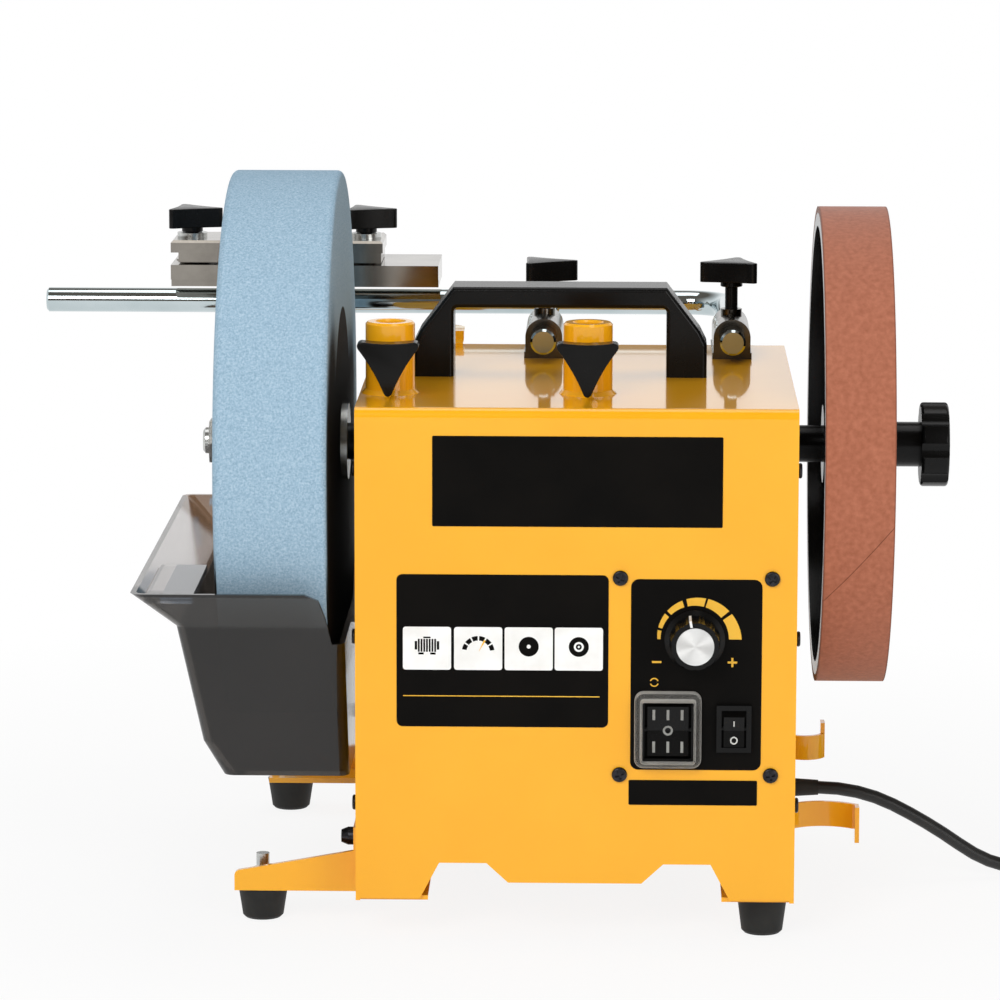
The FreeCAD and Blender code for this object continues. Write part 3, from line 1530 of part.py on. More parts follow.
def cord_coil():
    layers = int(num("coil_layers"))
    total = num("coil_turns_per_layer") * layers + 0.5 * (layers - 1)
    steps = int(round(total * 4))
    turns = [total * index / steps for index in range(steps + 1)]
    spots = [coil_spot(turn) for turn in turns]
    ways = [coil_heading(turn, total) for turn in turns]
    ways[0] = Vector(1, 0, 0)
    ways[-1] = unit(Vector(ways[-1].x, ways[-1].y, 0))
    straight = 2 * num("cord_radius")
    begin = spots[0] - ways[0] * straight
    finish = spots[-1] + ways[-1] * straight
    edges = [Part.LineSegment(begin, spots[0]).toShape()]
    for index in range(steps):
        edges += biarc(spots[index], ways[index], spots[index + 1], ways[index + 1])
    edges.append(Part.LineSegment(spots[-1], finish).toShape())
    length = sum(edge.Length for edge in edges)
    solid = swept(edges, begin, ways[0])
    fine = 48
    samples = [coil_spot(total * index / (steps * fine / 4)) for index in range(int(steps * fine / 4) + 1)]
    least = min((samples[a] - samples[b]).Length
                for a in range(0, len(samples), 2) for b in range(a + fine // 2, len(samples)))
    print("cord_coil length", round(length, 1), "turns", round(total, 3),
          "least gap", round(least - 2 * num("cord_radius"), 2),
          "volume share", round(solid.Volume / (math.pi * num("cord_radius") ** 2 * length), 4))
    fixed_shape("cord_coil", solid)
    return begin, finish, ways[-1], length


def power_plug(inlet):
    # two-pin plug lying on the bench, its cord inlet facing the coil
    body = new_body("power_plug")
    block = sketch(body, "front")
    rounded(block, "-plug_width / 2", "plug_width / 2", "-plug_tall / 2", "plug_tall / 2", "plug_edge")
    pad(body, block, "plug_length", reverse=True)
    pins = sketch(body, "front", "plug_length")
    for side in (-1, 1):
        circle(pins, "%d * plug_pin_pitch / 2" % side, "0", "plug_pin_radius")
    pad(body, pins, "plug_pin_length", reverse=True)
    keep(place(body, inlet.x, inlet.y, inlet.z), "power_plug")


# Places that several pieces share
front_sleeve_x = ("-half + sleeve_inset", "-half + sleeve_inset + rod_pitch")
front_foot_x = "-half - arm_reach + foot_inset"
rear_foot_x = "-half - arm_reach + rear_foot_inset"
pillar_x = ("left_pillar_x", "left_pillar_x + pillar_pitch")
case_foot_y = ("front + case_foot_front", "back - case_foot_back")
panel_screw_spots = [(x, z) for x in ("panel_screw_left", "panel_screw_left + panel_screw_pitch")
                     for z in ("panel_screw_low", "panel_screw_low + panel_screw_rise")]
side_screw_spots = [(y, "side_screw_low + %d * side_screw_pitch" % step)
                    for y in ("front + side_screw_inset", "back - side_screw_inset") for step in range(3)]
derived["spindle_length"] = "sheet + pot_depth / 2"
slope = "(trough_shoulder_half - trough_floor_half) / (trough_shoulder - trough_floor)"
chamfer_half = "(trough_floor_half + %s * (trough_chamfer_top - trough_floor))" % slope
rim_slope = "(trough_rim_left - trough_shoulder_left) / (trough_rim - trough_shoulder)"
ledge_rise = "(trough_ledge_height - trough_wall - trough_shoulder)"
ledge_left = "-(trough_shoulder_left + %s * %s - trough_wall / 2)" % (rim_slope, ledge_rise)
lip_slope = "(trough_rim_half - trough_shoulder_half) / (trough_rim - trough_shoulder)"
ledge_front = "(trough_shoulder_half + %s * %s - trough_wall / 2)" % (lip_slope, ledge_rise)

housing_shell()
side_panel("left_side_panel", -1)
side_panel("right_side_panel", 1)
bottom_plate()
front_sleeve("front_sleeve_left", front_sleeve_x[0])
front_sleeve("front_sleeve_right", front_sleeve_x[1])
rear_sleeve("rear_sleeve_left", "rear_left_x")
rear_sleeve("rear_sleeve_right", "rear_right_x")
front_stud = "sleeve_outer + boss_reach + knob_gap - bore - stud_tip_gap"
for name, x in (("front_knob_left", front_sleeve_x[0]), ("front_knob_right", front_sleeve_x[1])):
    seat = "front + sleeve_setback - sleeve_outer - boss_reach - knob_gap"
    clamp_knob(name, front_stud, x, seat, "body_top + clamp_rise", ((1, 0, 0), 90))
rear_stud = "rear_boss_rise + rear_knob_lift - bore - stud_tip_gap"
for name, x, angle in (("rear_knob_left", "rear_left_x", 90), ("rear_knob_right", "rear_right_x", 287)):
    clamp_knob(name, rear_stud, x, "rear_front + rear_length / 2",
               "rod_axis + rear_boss_rise + rear_knob_lift", ((0, 0, 1), angle))
support_bar()
jig_base()
jig_bush()
jig_jaw()
jig_washers()
jig_stud = "knob_gap + jig_washer + jaw_thick + jaw_seat + jig_stud_depth"
jig_seat = "jaw_bottom + jaw_thick + jig_washer + knob_gap"
for name, x in zip(("jig_knob_left", "jig_knob_right"), pillar_x):
    clamp_knob(name, jig_stud, x, "support_reach", jig_seat, ((0, 0, 1), 80))
carry_handle()
rear_ring_tab()
outrigger_front()
outrigger_rear()
feet = []
bolts = []
foot_spots = [
    ("front_left", front_foot_x, "front_arm_y", "arm_bottom", "arm_bottom + plate_thick"),
    ("rear_left", rear_foot_x, "rear_arm_y", "arm_bottom", "arm_bottom + plate_thick"),
    ("front_right", "half - case_foot_inset", case_foot_y[0], "side_bottom", "side_bottom + sheet"),
    ("rear_right", "half - case_foot_inset", case_foot_y[1], "side_bottom", "side_bottom + sheet")]
for word, x, y, foot_top, seat in foot_spots:
    feet.append(rubber_foot("foot_" + word, x, y, foot_top))
    bolts.append(foot_bolt("bolt_" + word, x, y, seat))
group("rubber_feet", feet)
group("foot_bolts", bolts)
arm_screw = round_screw("arm_screw", "screw_head_radius", "screw_head", "bolt_radius", "plate_thick + sheet",
                        "-half - plate_thick", "front_arm_y", "screw_height", ((0, 1, 0), -90))
keep(arm_screw, "outrigger_screw")
case_screws = []
for index, (x, z) in enumerate(panel_screw_spots):
    case_screws.append(round_screw("panel_screw_%d" % index, "case_screw_radius", "case_screw_head",
                                   "case_screw_shank", "case_screw_length", x, "front", z, ((1, 0, 0), 90)))
for side, angle in (("-", -90), ("", 90)):
    for index, (y, z) in enumerate(side_screw_spots):
        word = "left" if side else "right"
        case_screws.append(round_screw("%s_screw_%d" % (word, index), "case_screw_radius", "case_screw_head",
                                       "case_screw_shank", "case_screw_length", side + "half", y, z,
                                       ((0, 1, 0), angle)))
group("case_screws", case_screws)
speed_knob()
speed_knob_cap()
speed_pot()
switch_body("reverse_switch", "reverse_x", "reverse_height", "reverse_width", "reverse_tall", "reverse_body")
switch_body("power_switch", "power_x", "power_height", "power_width", "power_tall", "power_body")
rocker("reverse_rocker", "reverse_x", "reverse_height", "reverse_width",
       "reverse_rocker_width", "reverse_rocker_tall", 0)
rocker("power_rocker", "power_x", "power_height", "power_width",
       "power_rocker_width", "power_rocker_tall", num("power_tilt"))
switch_boot()
cord_gland()
cord_hook("cord_hook_upper", "upper_hook_y", "upper_hook_low", "upper_hook_reach", "upper_hook_bow", -1)
cord_hook("cord_hook_lower", "lower_hook_y", "lower_hook_low", "lower_hook_reach", "lower_hook_bow", 1)
main_shaft()
grinding_stone()
stone_washers()
stone_nut()
shaft_spacers()
shaft_bushes()
honing_wheel()
honing_knob()
motor()
motor_shaft()
motor_cradle()
pulley("shaft_pulley", "shaft_pulley_radius", "shaft_radius + fit_gap", "0", "shaft_height")
pulley("motor_pulley", "motor_pulley_radius", "motor_shaft_radius + fit_gap", "motor_y", "motor_height")
drive_belt()
control_board()
water_trough()
trough_hanger()
coil_begin, coil_finish, coil_way, coil_length = cord_coil()
gland_tip = Vector(num("half + gland_flange + gland_tail"), num("gland_y"), num("gland_height"))
cord_points = [
    gland_tip, gland_tip + Vector(19, 0, 0), gland_tip + Vector(51, 1, -16.2), gland_tip + Vector(81, 4, -38),
    coil_begin - Vector(21, 1, 0), coil_begin]
run_length = cord_run("cord_run", cord_points)
drop = Vector(num("tail_drift"), 0, num("plug_tall / 2 + plug_lift") - coil_finish.z)
tail_points = [
    coil_finish, coil_finish + coil_way * num("tail_level"),
    coil_finish + coil_way * num("tail_level + tail_fall") + drop,
    coil_finish + coil_way * num("tail_level + tail_fall + tail_end") + drop]
tail_length = cord_run("cord_tail", tail_points)
power_plug(tail_points[-1])
print("whole cord", round(run_length + coil_length + tail_length + num("plug_length"), 1))

doc.recompute()
for item in doc.Objects:
    if "Invalid" in item.State or "Error" in item.State:
        raise RuntimeError("failed object: %s %s" % (item.Name, item.State))
os.makedirs("parts", exist_ok=True)
for name, thing in nodes.items():
    shape = thing.Shape
    if shape.isNull() or not shape.isValid() or not shape.Solids:
        raise RuntimeError("bad shape: " + name)
    shape.exportStep("parts/%s.step" % name)
print(len(nodes), "sub-parts written")
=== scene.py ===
import bpy
import json
import math
from mathutils import Matrix, Vector

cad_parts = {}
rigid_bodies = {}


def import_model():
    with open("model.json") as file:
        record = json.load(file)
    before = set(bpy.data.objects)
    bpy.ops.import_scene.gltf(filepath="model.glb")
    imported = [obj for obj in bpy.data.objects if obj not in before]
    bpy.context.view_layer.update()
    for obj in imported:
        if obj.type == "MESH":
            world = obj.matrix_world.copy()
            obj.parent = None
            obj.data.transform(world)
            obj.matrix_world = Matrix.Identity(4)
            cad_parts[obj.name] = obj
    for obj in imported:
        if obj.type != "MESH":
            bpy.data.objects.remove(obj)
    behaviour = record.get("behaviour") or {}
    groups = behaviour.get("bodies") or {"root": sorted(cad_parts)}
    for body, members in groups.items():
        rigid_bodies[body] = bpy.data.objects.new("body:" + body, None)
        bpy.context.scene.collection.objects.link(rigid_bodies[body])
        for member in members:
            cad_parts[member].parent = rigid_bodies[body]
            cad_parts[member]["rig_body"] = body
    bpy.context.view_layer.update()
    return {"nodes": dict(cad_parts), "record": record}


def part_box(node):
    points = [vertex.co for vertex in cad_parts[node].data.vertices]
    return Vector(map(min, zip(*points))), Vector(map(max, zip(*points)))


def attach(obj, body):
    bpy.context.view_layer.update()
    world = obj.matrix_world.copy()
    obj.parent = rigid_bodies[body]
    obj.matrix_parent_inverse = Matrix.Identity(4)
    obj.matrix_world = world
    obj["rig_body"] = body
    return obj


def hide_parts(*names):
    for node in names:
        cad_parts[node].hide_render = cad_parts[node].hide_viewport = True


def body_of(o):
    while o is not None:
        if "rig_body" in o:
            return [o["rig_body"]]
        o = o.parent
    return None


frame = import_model()
nodes = frame["nodes"]
print("frame loaded,", len(nodes), "nodes")

# Sizes are in millimetres; the drawing's middle of the housing lies off the frame's origin by this much
drawingShift = {"x": 47.8, "y": -31.35}


def at(x, y, z):
    return Vector(((x + drawingShift["x"]) / 1000, (y + drawingShift["y"]) / 1000, z / 1000))


def clearSelection():
    if bpy.context.object and bpy.context.object.mode != "OBJECT":
        bpy.ops.object.mode_set(mode="OBJECT")
    bpy.ops.object.select_all(action="DESELECT")


def pickOnly(piece):
    clearSelection()
    piece.select_set(True)
    bpy.context.view_layer.objects.active = piece


def applyPlace(piece):
    pickOnly(piece)
    bpy.ops.object.transform_apply(location=True, rotation=True, scale=True)


def newest(name):
    piece = bpy.context.object
    piece.name = name
    piece.data.name = name
    return piece


def copyOf(piece):
    twin = piece.copy()
    twin.data = piece.data.copy()
    bpy.context.scene.collection.objects.link(twin)
    return twin


def editAll(piece):
    pickOnly(piece)
    bpy.ops.object.mode_set(mode="EDIT")
    bpy.ops.mesh.select_all(action="SELECT")


def editDone():
    bpy.ops.object.mode_set(mode="OBJECT")


def extrude(x, y, z):
    bpy.ops.mesh.extrude_region_move(TRANSFORM_OT_translate={"value": (x / 1000, y / 1000, z / 1000)})


def faceOutward():
    bpy.ops.mesh.select_all(action="SELECT")
    bpy.ops.mesh.normals_make_consistent(inside=False)


def shapeWith(piece, kind, **settings):
    pickOnly(piece)
    modifier = piece.modifiers.new(kind.lower(), kind)
    for key, value in settings.items():
        setattr(modifier, key, value)
    bpy.ops.object.modifier_apply(modifier=modifier.name)


def finishPiece(piece, body, material, smoothAngle=35):
    pickOnly(piece)
    bpy.ops.object.shade_smooth_by_angle(angle=math.radians(smoothAngle))
    piece.data.materials.clear()
    piece.data.materials.append(material)
    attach(piece, body)
    return piece


def joinPieces(pieces, name):
    clearSelection()
    for piece in pieces:
        piece.select_set(True)
    bpy.context.view_layer.objects.active = pieces[0]
    bpy.ops.object.join()
    return newest(name)


# Camera: a long lens a little above the bench, as the photograph has it
cameraView = {"place": (0.06703, -2.26925, 0.55243), "lens": 177.05, "sensor": 36, "farClip": 50,
              "turn": 0.0248, "down": 0.1658, "roll": 0.0018}
bpy.ops.object.camera_add()
camera = newest("photoCamera")
camera.data.lens = cameraView["lens"]
camera.data.sensor_width = cameraView["sensor"]
camera.data.clip_end = cameraView["farClip"]
camera.matrix_world = (
    Matrix.Translation(cameraView["place"])
    @ Matrix.Rotation(cameraView["turn"], 4, "Z")
    @ Matrix.Rotation(math.pi / 2 - cameraView["down"], 4, "X")
    @ Matrix.Rotation(cameraView["roll"], 4, "Z")
)
bpy.context.scene.camera = camera
bpy.context.scene.view_settings.view_transform = "Standard"
print("camera set")


def hexColour(text):
    channels = [int(text[i:i + 2], 16) / 255 for i in (1, 3, 5)]
    linear = [c / 12.92 if c <= 0.04045 else ((c + 0.055) / 1.055) ** 2.4 for c in channels]
    return (*linear, 1)


def perMm(size):
    return 1000 / size  # texture scale whose detail is that many millimetres


def addNode(tree, kind, settings=None):
    # an output among the settings is linked, any other value is set
    node = tree.nodes.new(kind)
    for key, value in (settings or {}).items():
        if isinstance(value, bpy.types.NodeSocket):
            tree.links.new(value, node.inputs[key])
        elif isinstance(key, int) or key in node.inputs:
            node.inputs[key].default_value = value
        else:
            setattr(node, key, value)
    return node


def maths(tree, operation, *terms):
    return addNode(tree, "ShaderNodeMath", {"operation": operation, **dict(enumerate(terms))}).outputs["Value"]


def vectorMaths(tree, operation, *terms):
    return addNode(tree, "ShaderNodeVectorMath", {"operation": operation, **dict(enumerate(terms))}).outputs


def mapped(tree, value, start, end, low=0.0, high=1.0):
    return addNode(tree, "ShaderNodeMapRange", {
        "From Min": start, "From Max": end, "To Min": low, "To Max": high, "Value": value}).outputs["Result"]


def mixed(tree, share, under, over):
    return addNode(tree, "ShaderNodeMix", {"data_type": "RGBA", 0: share, 6: under, 7: over}).outputs[2]


def shaderMix(tree, share, under, over):
    return addNode(tree, "ShaderNodeMixShader", {0: share, 1: under, 2: over}).outputs["Shader"]


def splitAxes(tree, vector):
    return addNode(tree, "ShaderNodeSeparateXYZ", {"Vector": vector}).outputs


def noiseOf(tree, place, size, detail, rough=0.5):
    return addNode(tree, "ShaderNodeTexNoise", {
        "Scale": perMm(size), "Detail": detail, "Roughness": rough, "Vector": place}).outputs["Fac"]


def newMaterial(name, settings):
    material = bpy.data.materials.new(name)
    material.use_nodes = True
    tree = material.node_tree
    shader = tree.nodes["Principled BSDF"]
    for key, value in settings.items():
        shader.inputs[key].default_value = value
    place = addNode(tree, "ShaderNodeTexCoord").outputs["Object"]
    return material, tree, shader, place


def toneRamp(tree, shader, share, dark, light, spread):
    ramp = addNode(tree, "ShaderNodeValToRGB", {"Fac": share})
    for index, colour in enumerate((dark, light)):
        ramp.color_ramp.elements[index].position = spread[index]
        ramp.color_ramp.elements[index].color = hexColour(colour)
    tree.links.new(ramp.outputs["Color"], shader.inputs["Base Color"])
    return ramp


def mottle(tree, shader, place, size, dark, light, spread=(0.35, 0.65)):
    return toneRamp(tree, shader, noiseOf(tree, place, size, detail=4.0), dark, light, spread)


def relief(tree, shader, height, strength, depthMm):
    bump = addNode(tree, "ShaderNodeBump", {"Strength": strength, "Distance": depthMm / 1000, "Height": height})
    tree.links.new(bump.outputs["Normal"], shader.inputs["Normal"])


def plainFinish(name, settings, size, dark, light, grain=None):
    material, tree, shader, place = newMaterial(name, settings)
    mottle(tree, shader, place, size, dark, light)
    if grain:
        height = noiseOf(tree, place, grain["size"], grain["detail"])
        relief(tree, shader, height, grain["strength"], grain["depth"])
    return material


# Powder coat on folded sheet steel: warm yellow, deep gloss with a slight orange peel
coatPaint = plainFinish("powderCoatYellow", {
    "Roughness": 0.3, "Coat Weight": 1.0, "Coat Roughness": 0.05, "Coat IOR": 1.5, "Specular IOR Level": 0.1},
    70, "#FAB013", "#FCB519", {"size": 2.2, "detail": 2.0, "strength": 0.12, "depth": 0.05})

# Glass-filled nylon, moulded: satin black with a fine spark-eroded grain
blackNylon = plainFinish("blackNylon", {"Roughness": 0.24, "Specular IOR Level": 0.18},
                         25, "#0B0B0B", "#111111", {"size": 0.7, "detail": 3.0, "strength": 0.25, "depth": 0.08})

# ABS wheel, moulded against a polished tool: nearly black, clear highlights
glossAbs = plainFinish("glossAbs", {"Roughness": 0.2, "Specular IOR Level": 0.5}, 40, "#0B0B0C", "#111112")

# Nitrile rubber, moulded: matt black, slightly dusty
blackRubber = plainFinish("nitrileRubber", {"Roughness": 0.62, "Specular IOR Level": 0.35},
                          12, "#171716", "#232321", {"size": 0.9, "detail": 4.0, "strength": 0.3, "depth": 0.1})

# PVC sheath of a mains lead, extruded: soft black sheen along its length
cordSheath = plainFinish("pvcSheath", {"Roughness": 0.42, "Specular IOR Level": 0.45}, 9, "#151515", "#1E1E1D")

# Zinc-plated steel: bright bluish silver with a cloudy passivation
zincSteel = plainFinish("zincPlatedSteel", {"Metallic": 1.0, "Roughness": 0.26},
                        6, "#B9BBBA", "#DBDCD8", {"size": 1.4, "detail": 3.0, "strength": 0.1, "depth": 0.05})

# Ground and chromed rod: mirror bright, cool grey
chromeRod = plainFinish("chromedRod", {"Metallic": 1.0, "Roughness": 0.07}, 30, "#B9C6C9", "#C8D3D6")

# Nickel-plated flat stock: polished, with faint draw lines along its length
nickelFlat, tree, shader, place = newMaterial("nickelPlatedFlat", {"Metallic": 1.0, "Roughness": 0.13})
mottle(tree, shader, place, 30, "#858079", "#A29D95")
stretched = addNode(tree, "ShaderNodeMapping", {"Scale": (0.02, 1.0, 1.0), "Vector": place}).outputs["Vector"]
relief(tree, shader, noiseOf(tree, stretched, size=0.8, detail=3.0), strength=0.12, depthMm=0.04)

# Burnished steel clamp sleeves: dark grey with bright curved flanks
burnishedSteel = plainFinish("burnishedSteel", {"Metallic": 1.0, "Roughness": 0.2}, 8, "#57544F", "#75726C")

# Sintered bronze: dull golden brown, cloudy
bronze = plainFinish("sinteredBronze", {"Metallic": 1.0, "Roughness": 0.4}, 1.5, "#8A6A3A", "#A9854B")

# Black oxide screws: dark, oily, half-bright edges
blackOxide = plainFinish("blackOxideSteel", {"Metallic": 0.9, "Roughness": 0.3}, 3, "#2A2A2D", "#3C3C41")

# Spun aluminium disc: fine turning rings round the dial's axis that fan the light
spunAluminium, tree, shader, place = newMaterial("spunAluminium", {
    "Metallic": 1.0, "Roughness": 0.3, "Anisotropic": 0.85})
dial = {"x": 52.2, "z": 136.4}
mottle(tree, shader, place, 20, "#E2E3E2", "#F2F2F0")
fromAxis = vectorMaths(tree, "SUBTRACT", place, at(dial["x"], 0, dial["z"]))["Vector"]
around = vectorMaths(tree, "CROSS_PRODUCT", fromAxis, (0, 1, 0))["Vector"]
asPosed = addNode(tree, "ShaderNodeVectorTransform", {
    "vector_type": "VECTOR", "convert_from": "OBJECT", "convert_to": "WORLD", "Vector": around}).outputs["Vector"]
tree.links.new(vectorMaths(tree, "NORMALIZE", asPosed)["Vector"], shader.inputs["Tangent"])

# Vitrified aluminium oxide: pale blue, matt, with lighter and darker grains drawn coarser than they are;
# painted shade on the sides: black discs round the hub, and darkening by ambient occlusion where they are hemmed in
gritStone, tree, shader, place = newMaterial("vitrifiedGrit", {"Roughness": 0.9, "Specular IOR Level": 0.2})
sideShade = {"middleX": -134, "height": 205, "radius": 62, "halfWide": 24.1, "gap": 35, "gapOpen": 0.85,
           "gapShut": 0.55}
grit = noiseOf(tree, place, size=1.0, detail=6.0, rough=0.85)
ramp = toneRamp(tree, shader, grit, "#7391A8", "#C6D9E5", (0.3, 0.72))
ramp.color_ramp.elements.new(0.5).color = hexColour("#9CB9CD")
# painted shade: the sides are darkened inside a black disc round the hub and where ambient occlusion finds them
# hemmed in
fromHub = vectorMaths(tree, "SUBTRACT", place, at(sideShade["middleX"], 0, sideShade["height"]))["Vector"]
fromAxis = vectorMaths(tree, "MULTIPLY", fromHub, (0, 1, 1))["Vector"]
onShadeDisc = maths(tree, "LESS_THAN", vectorMaths(tree, "LENGTH", fromAxis)["Value"], sideShade["radius"] / 1000)
offMiddle = maths(tree, "ABSOLUTE", splitAxes(tree, fromHub)["X"])
onSide = maths(tree, "GREATER_THAN", offMiddle, sideShade["halfWide"] / 1000)
openness = addNode(tree, "ShaderNodeAmbientOcclusion", {"samples": 12, "Distance": sideShade["gap"] / 1000})
gapShade = mapped(tree, openness.outputs["AO"], sideShade["gapOpen"], sideShade["gapShut"])
shadeShare = maths(tree, "MULTIPLY", maths(tree, "MAXIMUM", onShadeDisc, gapShade), onSide)
paintedSideShade = mixed(tree, shadeShare, ramp.outputs["Color"], hexColour("#0D0C0B"))
tree.links.new(paintedSideShade, shader.inputs["Base Color"])
relief(tree, shader, grit, strength=0.5, depthMm=0.25)

# Chrome-tanned leather, suede side out: reddish brown nap, dark at its edges and at a slanting glued joint
suede, tree, shader, place = newMaterial("suedeLeather", {
    "Roughness": 0.85, "Specular IOR Level": 0.15, "Sheen Weight": 0.25, "Sheen Roughness": 0.5})
strip = {"left": 109, "right": 140, "axis": 205, "radius": 109, "edge": 0.8, "edgeShare": 0.75,
         "seamLeft": -0.545, "seamRight": -0.187, "seamWide": 0.5}
ramp = mottle(tree, shader, place, 2.2, "#9B5C43", "#B9745A", (0.2, 0.8))
apart = splitAxes(tree, place)
ahead = maths(tree, "MULTIPLY_ADD", apart["Y"], -1.0, at(0, 0, 0).y)
above = maths(tree, "SUBTRACT", apart["Z"], strip["axis"] / 1000)
lean = mapped(tree, apart["X"], at(strip["left"], 0, 0).x, at(strip["right"], 0, 0).x,
              strip["seamLeft"], strip["seamRight"])
offSeam = maths(tree, "ABSOLUTE", maths(tree, "SUBTRACT", maths(tree, "ARCTAN2", above, ahead), lean))
inSeam = mapped(tree, offSeam, 0.0, strip["seamWide"] / strip["radius"], 1.0, 0.0)
stripMiddle, stripHalf = (strip["left"] + strip["right"]) / 2, (strip["right"] - strip["left"]) / 2
offMiddle = maths(tree, "ABSOLUTE", maths(tree, "SUBTRACT", apart["X"], at(stripMiddle, 0, 0).x))
inEdge = mapped(tree, offMiddle, (stripHalf - strip["edge"]) / 1000, stripHalf / 1000, 0.0, strip["edgeShare"])
stripTone = mixed(tree, maths(tree, "MAXIMUM", inSeam, inEdge), ramp.outputs["Color"], hexColour("#5E3020"))
tree.links.new(stripTone, shader.inputs["Base Color"])
nap = noiseOf(tree, place, size=0.9, detail=5.0, rough=0.75)
relief(tree, shader, nap, strength=0.4, depthMm=0.2)

# Smoked polystyrene, injection moulded: brown-grey and see-through, with light and shade painted into its tint by
# the trough's regions:
# a dark tub, partly the plastic's smoke and partly painted shade; painted light on the flare and more on the left
# flare; painted brown light on the back, painted bluish light on the ledge and painted shade on the front edge
smokePlastic, tree, shader, place = newMaterial("smokedPolystyrene", {
    "Roughness": 0.1, "IOR": 1.49, "Transmission Weight": 0.88})
paintedZones = {"flareLow": 138.5, "flareHigh": 141.5, "sideFrom": -163, "sideTo": -170, "backFrom": 90, "backTo": 104,
            "rim": 155.5, "front": -114, "frontReach": 6, "sharp": 0.1,
            "ledgeX": -174.5, "ledgeHalf": 7.3, "ledgeZ": 154, "ledgeThick": 1.6}
# the tub's dark tone: partly the smoke tint of the plastic, partly painted shade
ramp = mottle(tree, shader, place, 60, "#37332F", "#423D39")
apart = splitAxes(tree, place)


def rampOver(axis, start, end):
    index = "XYZ".index(axis)
    return mapped(tree, apart[axis], at(start, start, start)[index], at(end, end, end)[index])


def paintZone(before, colour, *shares):
    both = shares[0]
    for other in shares[1:]:
        both = maths(tree, "MULTIPLY", both, other)
    return mixed(tree, both, before, hexColour(colour))


raised = rampOver("Z", paintedZones["flareLow"], paintedZones["flareHigh"])
leftward = rampOver("X", paintedZones["sideFrom"], paintedZones["sideTo"])
rearward = rampOver("Y", paintedZones["backFrom"], paintedZones["backTo"])
forward = rampOver("Y", paintedZones["front"] + paintedZones["sharp"], paintedZones["front"])
inward = rampOver("Y", paintedZones["front"], paintedZones["front"] + paintedZones["frontReach"])
onRim = rampOver("Z", paintedZones["rim"], paintedZones["rim"] + paintedZones["sharp"])
ledgeAcross = maths(tree, "COMPARE", apart["X"], at(paintedZones["ledgeX"], 0, 0).x, paintedZones["ledgeHalf"] / 1000)
ledgeUp = maths(tree, "COMPARE", apart["Z"], paintedZones["ledgeZ"] / 1000, paintedZones["ledgeThick"] / 1000)
# painted light and shade: the flares painted pale, the left flare palest, the back painted brown, the ledge bluish
# and the front edge painted dark
paintedTone = paintZone(ramp.outputs["Color"], "#64615D", raised)
paintedTone = paintZone(paintedTone, "#CFC9C7", raised, leftward, inward)
paintedTone = paintZone(paintedTone, "#7B5F48", raised, rearward)
paintedTone = paintZone(paintedTone, "#757C86", ledgeAcross, ledgeUp)
paintedTone = paintZone(paintedTone, "#1A1816", forward, onRim)
tree.links.new(paintedTone, shader.inputs["Base Color"])

# Clear PVC boot: soft and glossy, with a painted pale highlight where one looks along its walls, made by its opacity
# rising there
clearPvc, tree, shader, place = newMaterial("clearPvc", {"Roughness": 0.12, "IOR": 1.45})
mottle(tree, shader, place, 15, "#D8D5CE", "#E4E1DA")
rimHighlight = {"faceOn": 0.05, "edgeOn": 0.8, "clear": 0.06, "milky": 0.9}
# painted highlight: the pale skin grows opaque towards the rims where one looks along the walls
slant = addNode(tree, "ShaderNodeLayerWeight", {"Blend": 0.45}).outputs["Facing"]
opacity = mapped(tree, slant, rimHighlight["faceOn"], rimHighlight["edgeOn"], rimHighlight["clear"], rimHighlight["milky"])
tree.links.new(opacity, shader.inputs["Alpha"])

# Screen-printed polyester film: even black with a soft sheen
printedBlack = plainFinish("printedFilmBlack", {"Roughness": 0.4, "Specular IOR Level": 0.05},
                           30, "#0B0A09", "#100E0C")

# Screen inks: flat, slightly thick
whiteInk = plainFinish("whiteInk", {"Roughness": 0.5}, 12, "#F1F0EC", "#FAFAF8")
yellowInk = plainFinish("yellowInk", {"Roughness": 0.5}, 12, "#F4B92F", "#FBC540")
paleInk = plainFinish("paleInk", {"Roughness": 0.5}, 12, "#BDBDB8", "#CFCFCA")
dullInk = plainFinish("dullInk", {"Roughness": 0.5}, 12, "#82827E", "#94948F")

# Enamelled cast iron motor and glass-epoxy board: seen only through the vents
castIron = plainFinish("enamelledIron", {"Roughness": 0.5, "Metallic": 0.3}, 5, "#2A2B2C", "#3A3B3C")
glassEpoxy = plainFinish("glassEpoxy", {"Roughness": 0.4}, 4, "#123F22", "#1B5A31")
print("materials made")

slotFinish = {
    "housing_paint": coatPaint, "black_plastic": blackNylon, "reverse_rocker_plastic": blackNylon,
    "power_rocker_plastic": blackNylon, "clear_boot": clearPvc, "knob_cap_metal": spunAluminium,
    "black_screw": blackOxide, "zinc_steel": zincSteel, "chrome_rod": chromeRod, "jig_metal": nickelFlat,
    "bush_bronze": bronze, "rubber_black": blackRubber, "cord_rubber": cordSheath, "plug_plastic": blackNylon,
    "abrasive_stone": gritStone, "honing_leather": suede, "honing_hub_plastic": glossAbs,
    "trough_plastic": smokePlastic, "motor_iron": castIron, "board_laminate": glassEpoxy}
ownFinish = {"rear_sleeve_left": burnishedSteel, "rear_sleeve_right": burnishedSteel, "shaft_spacers": blackNylon}
for part in frame["record"]["subparts"]:
    finish = ownFinish.get(part["node"], slotFinish[part["material_slot"]])
    for materialSlot in nodes[part["node"]].material_slots:
        materialSlot.material = finish
print("finishes assigned")

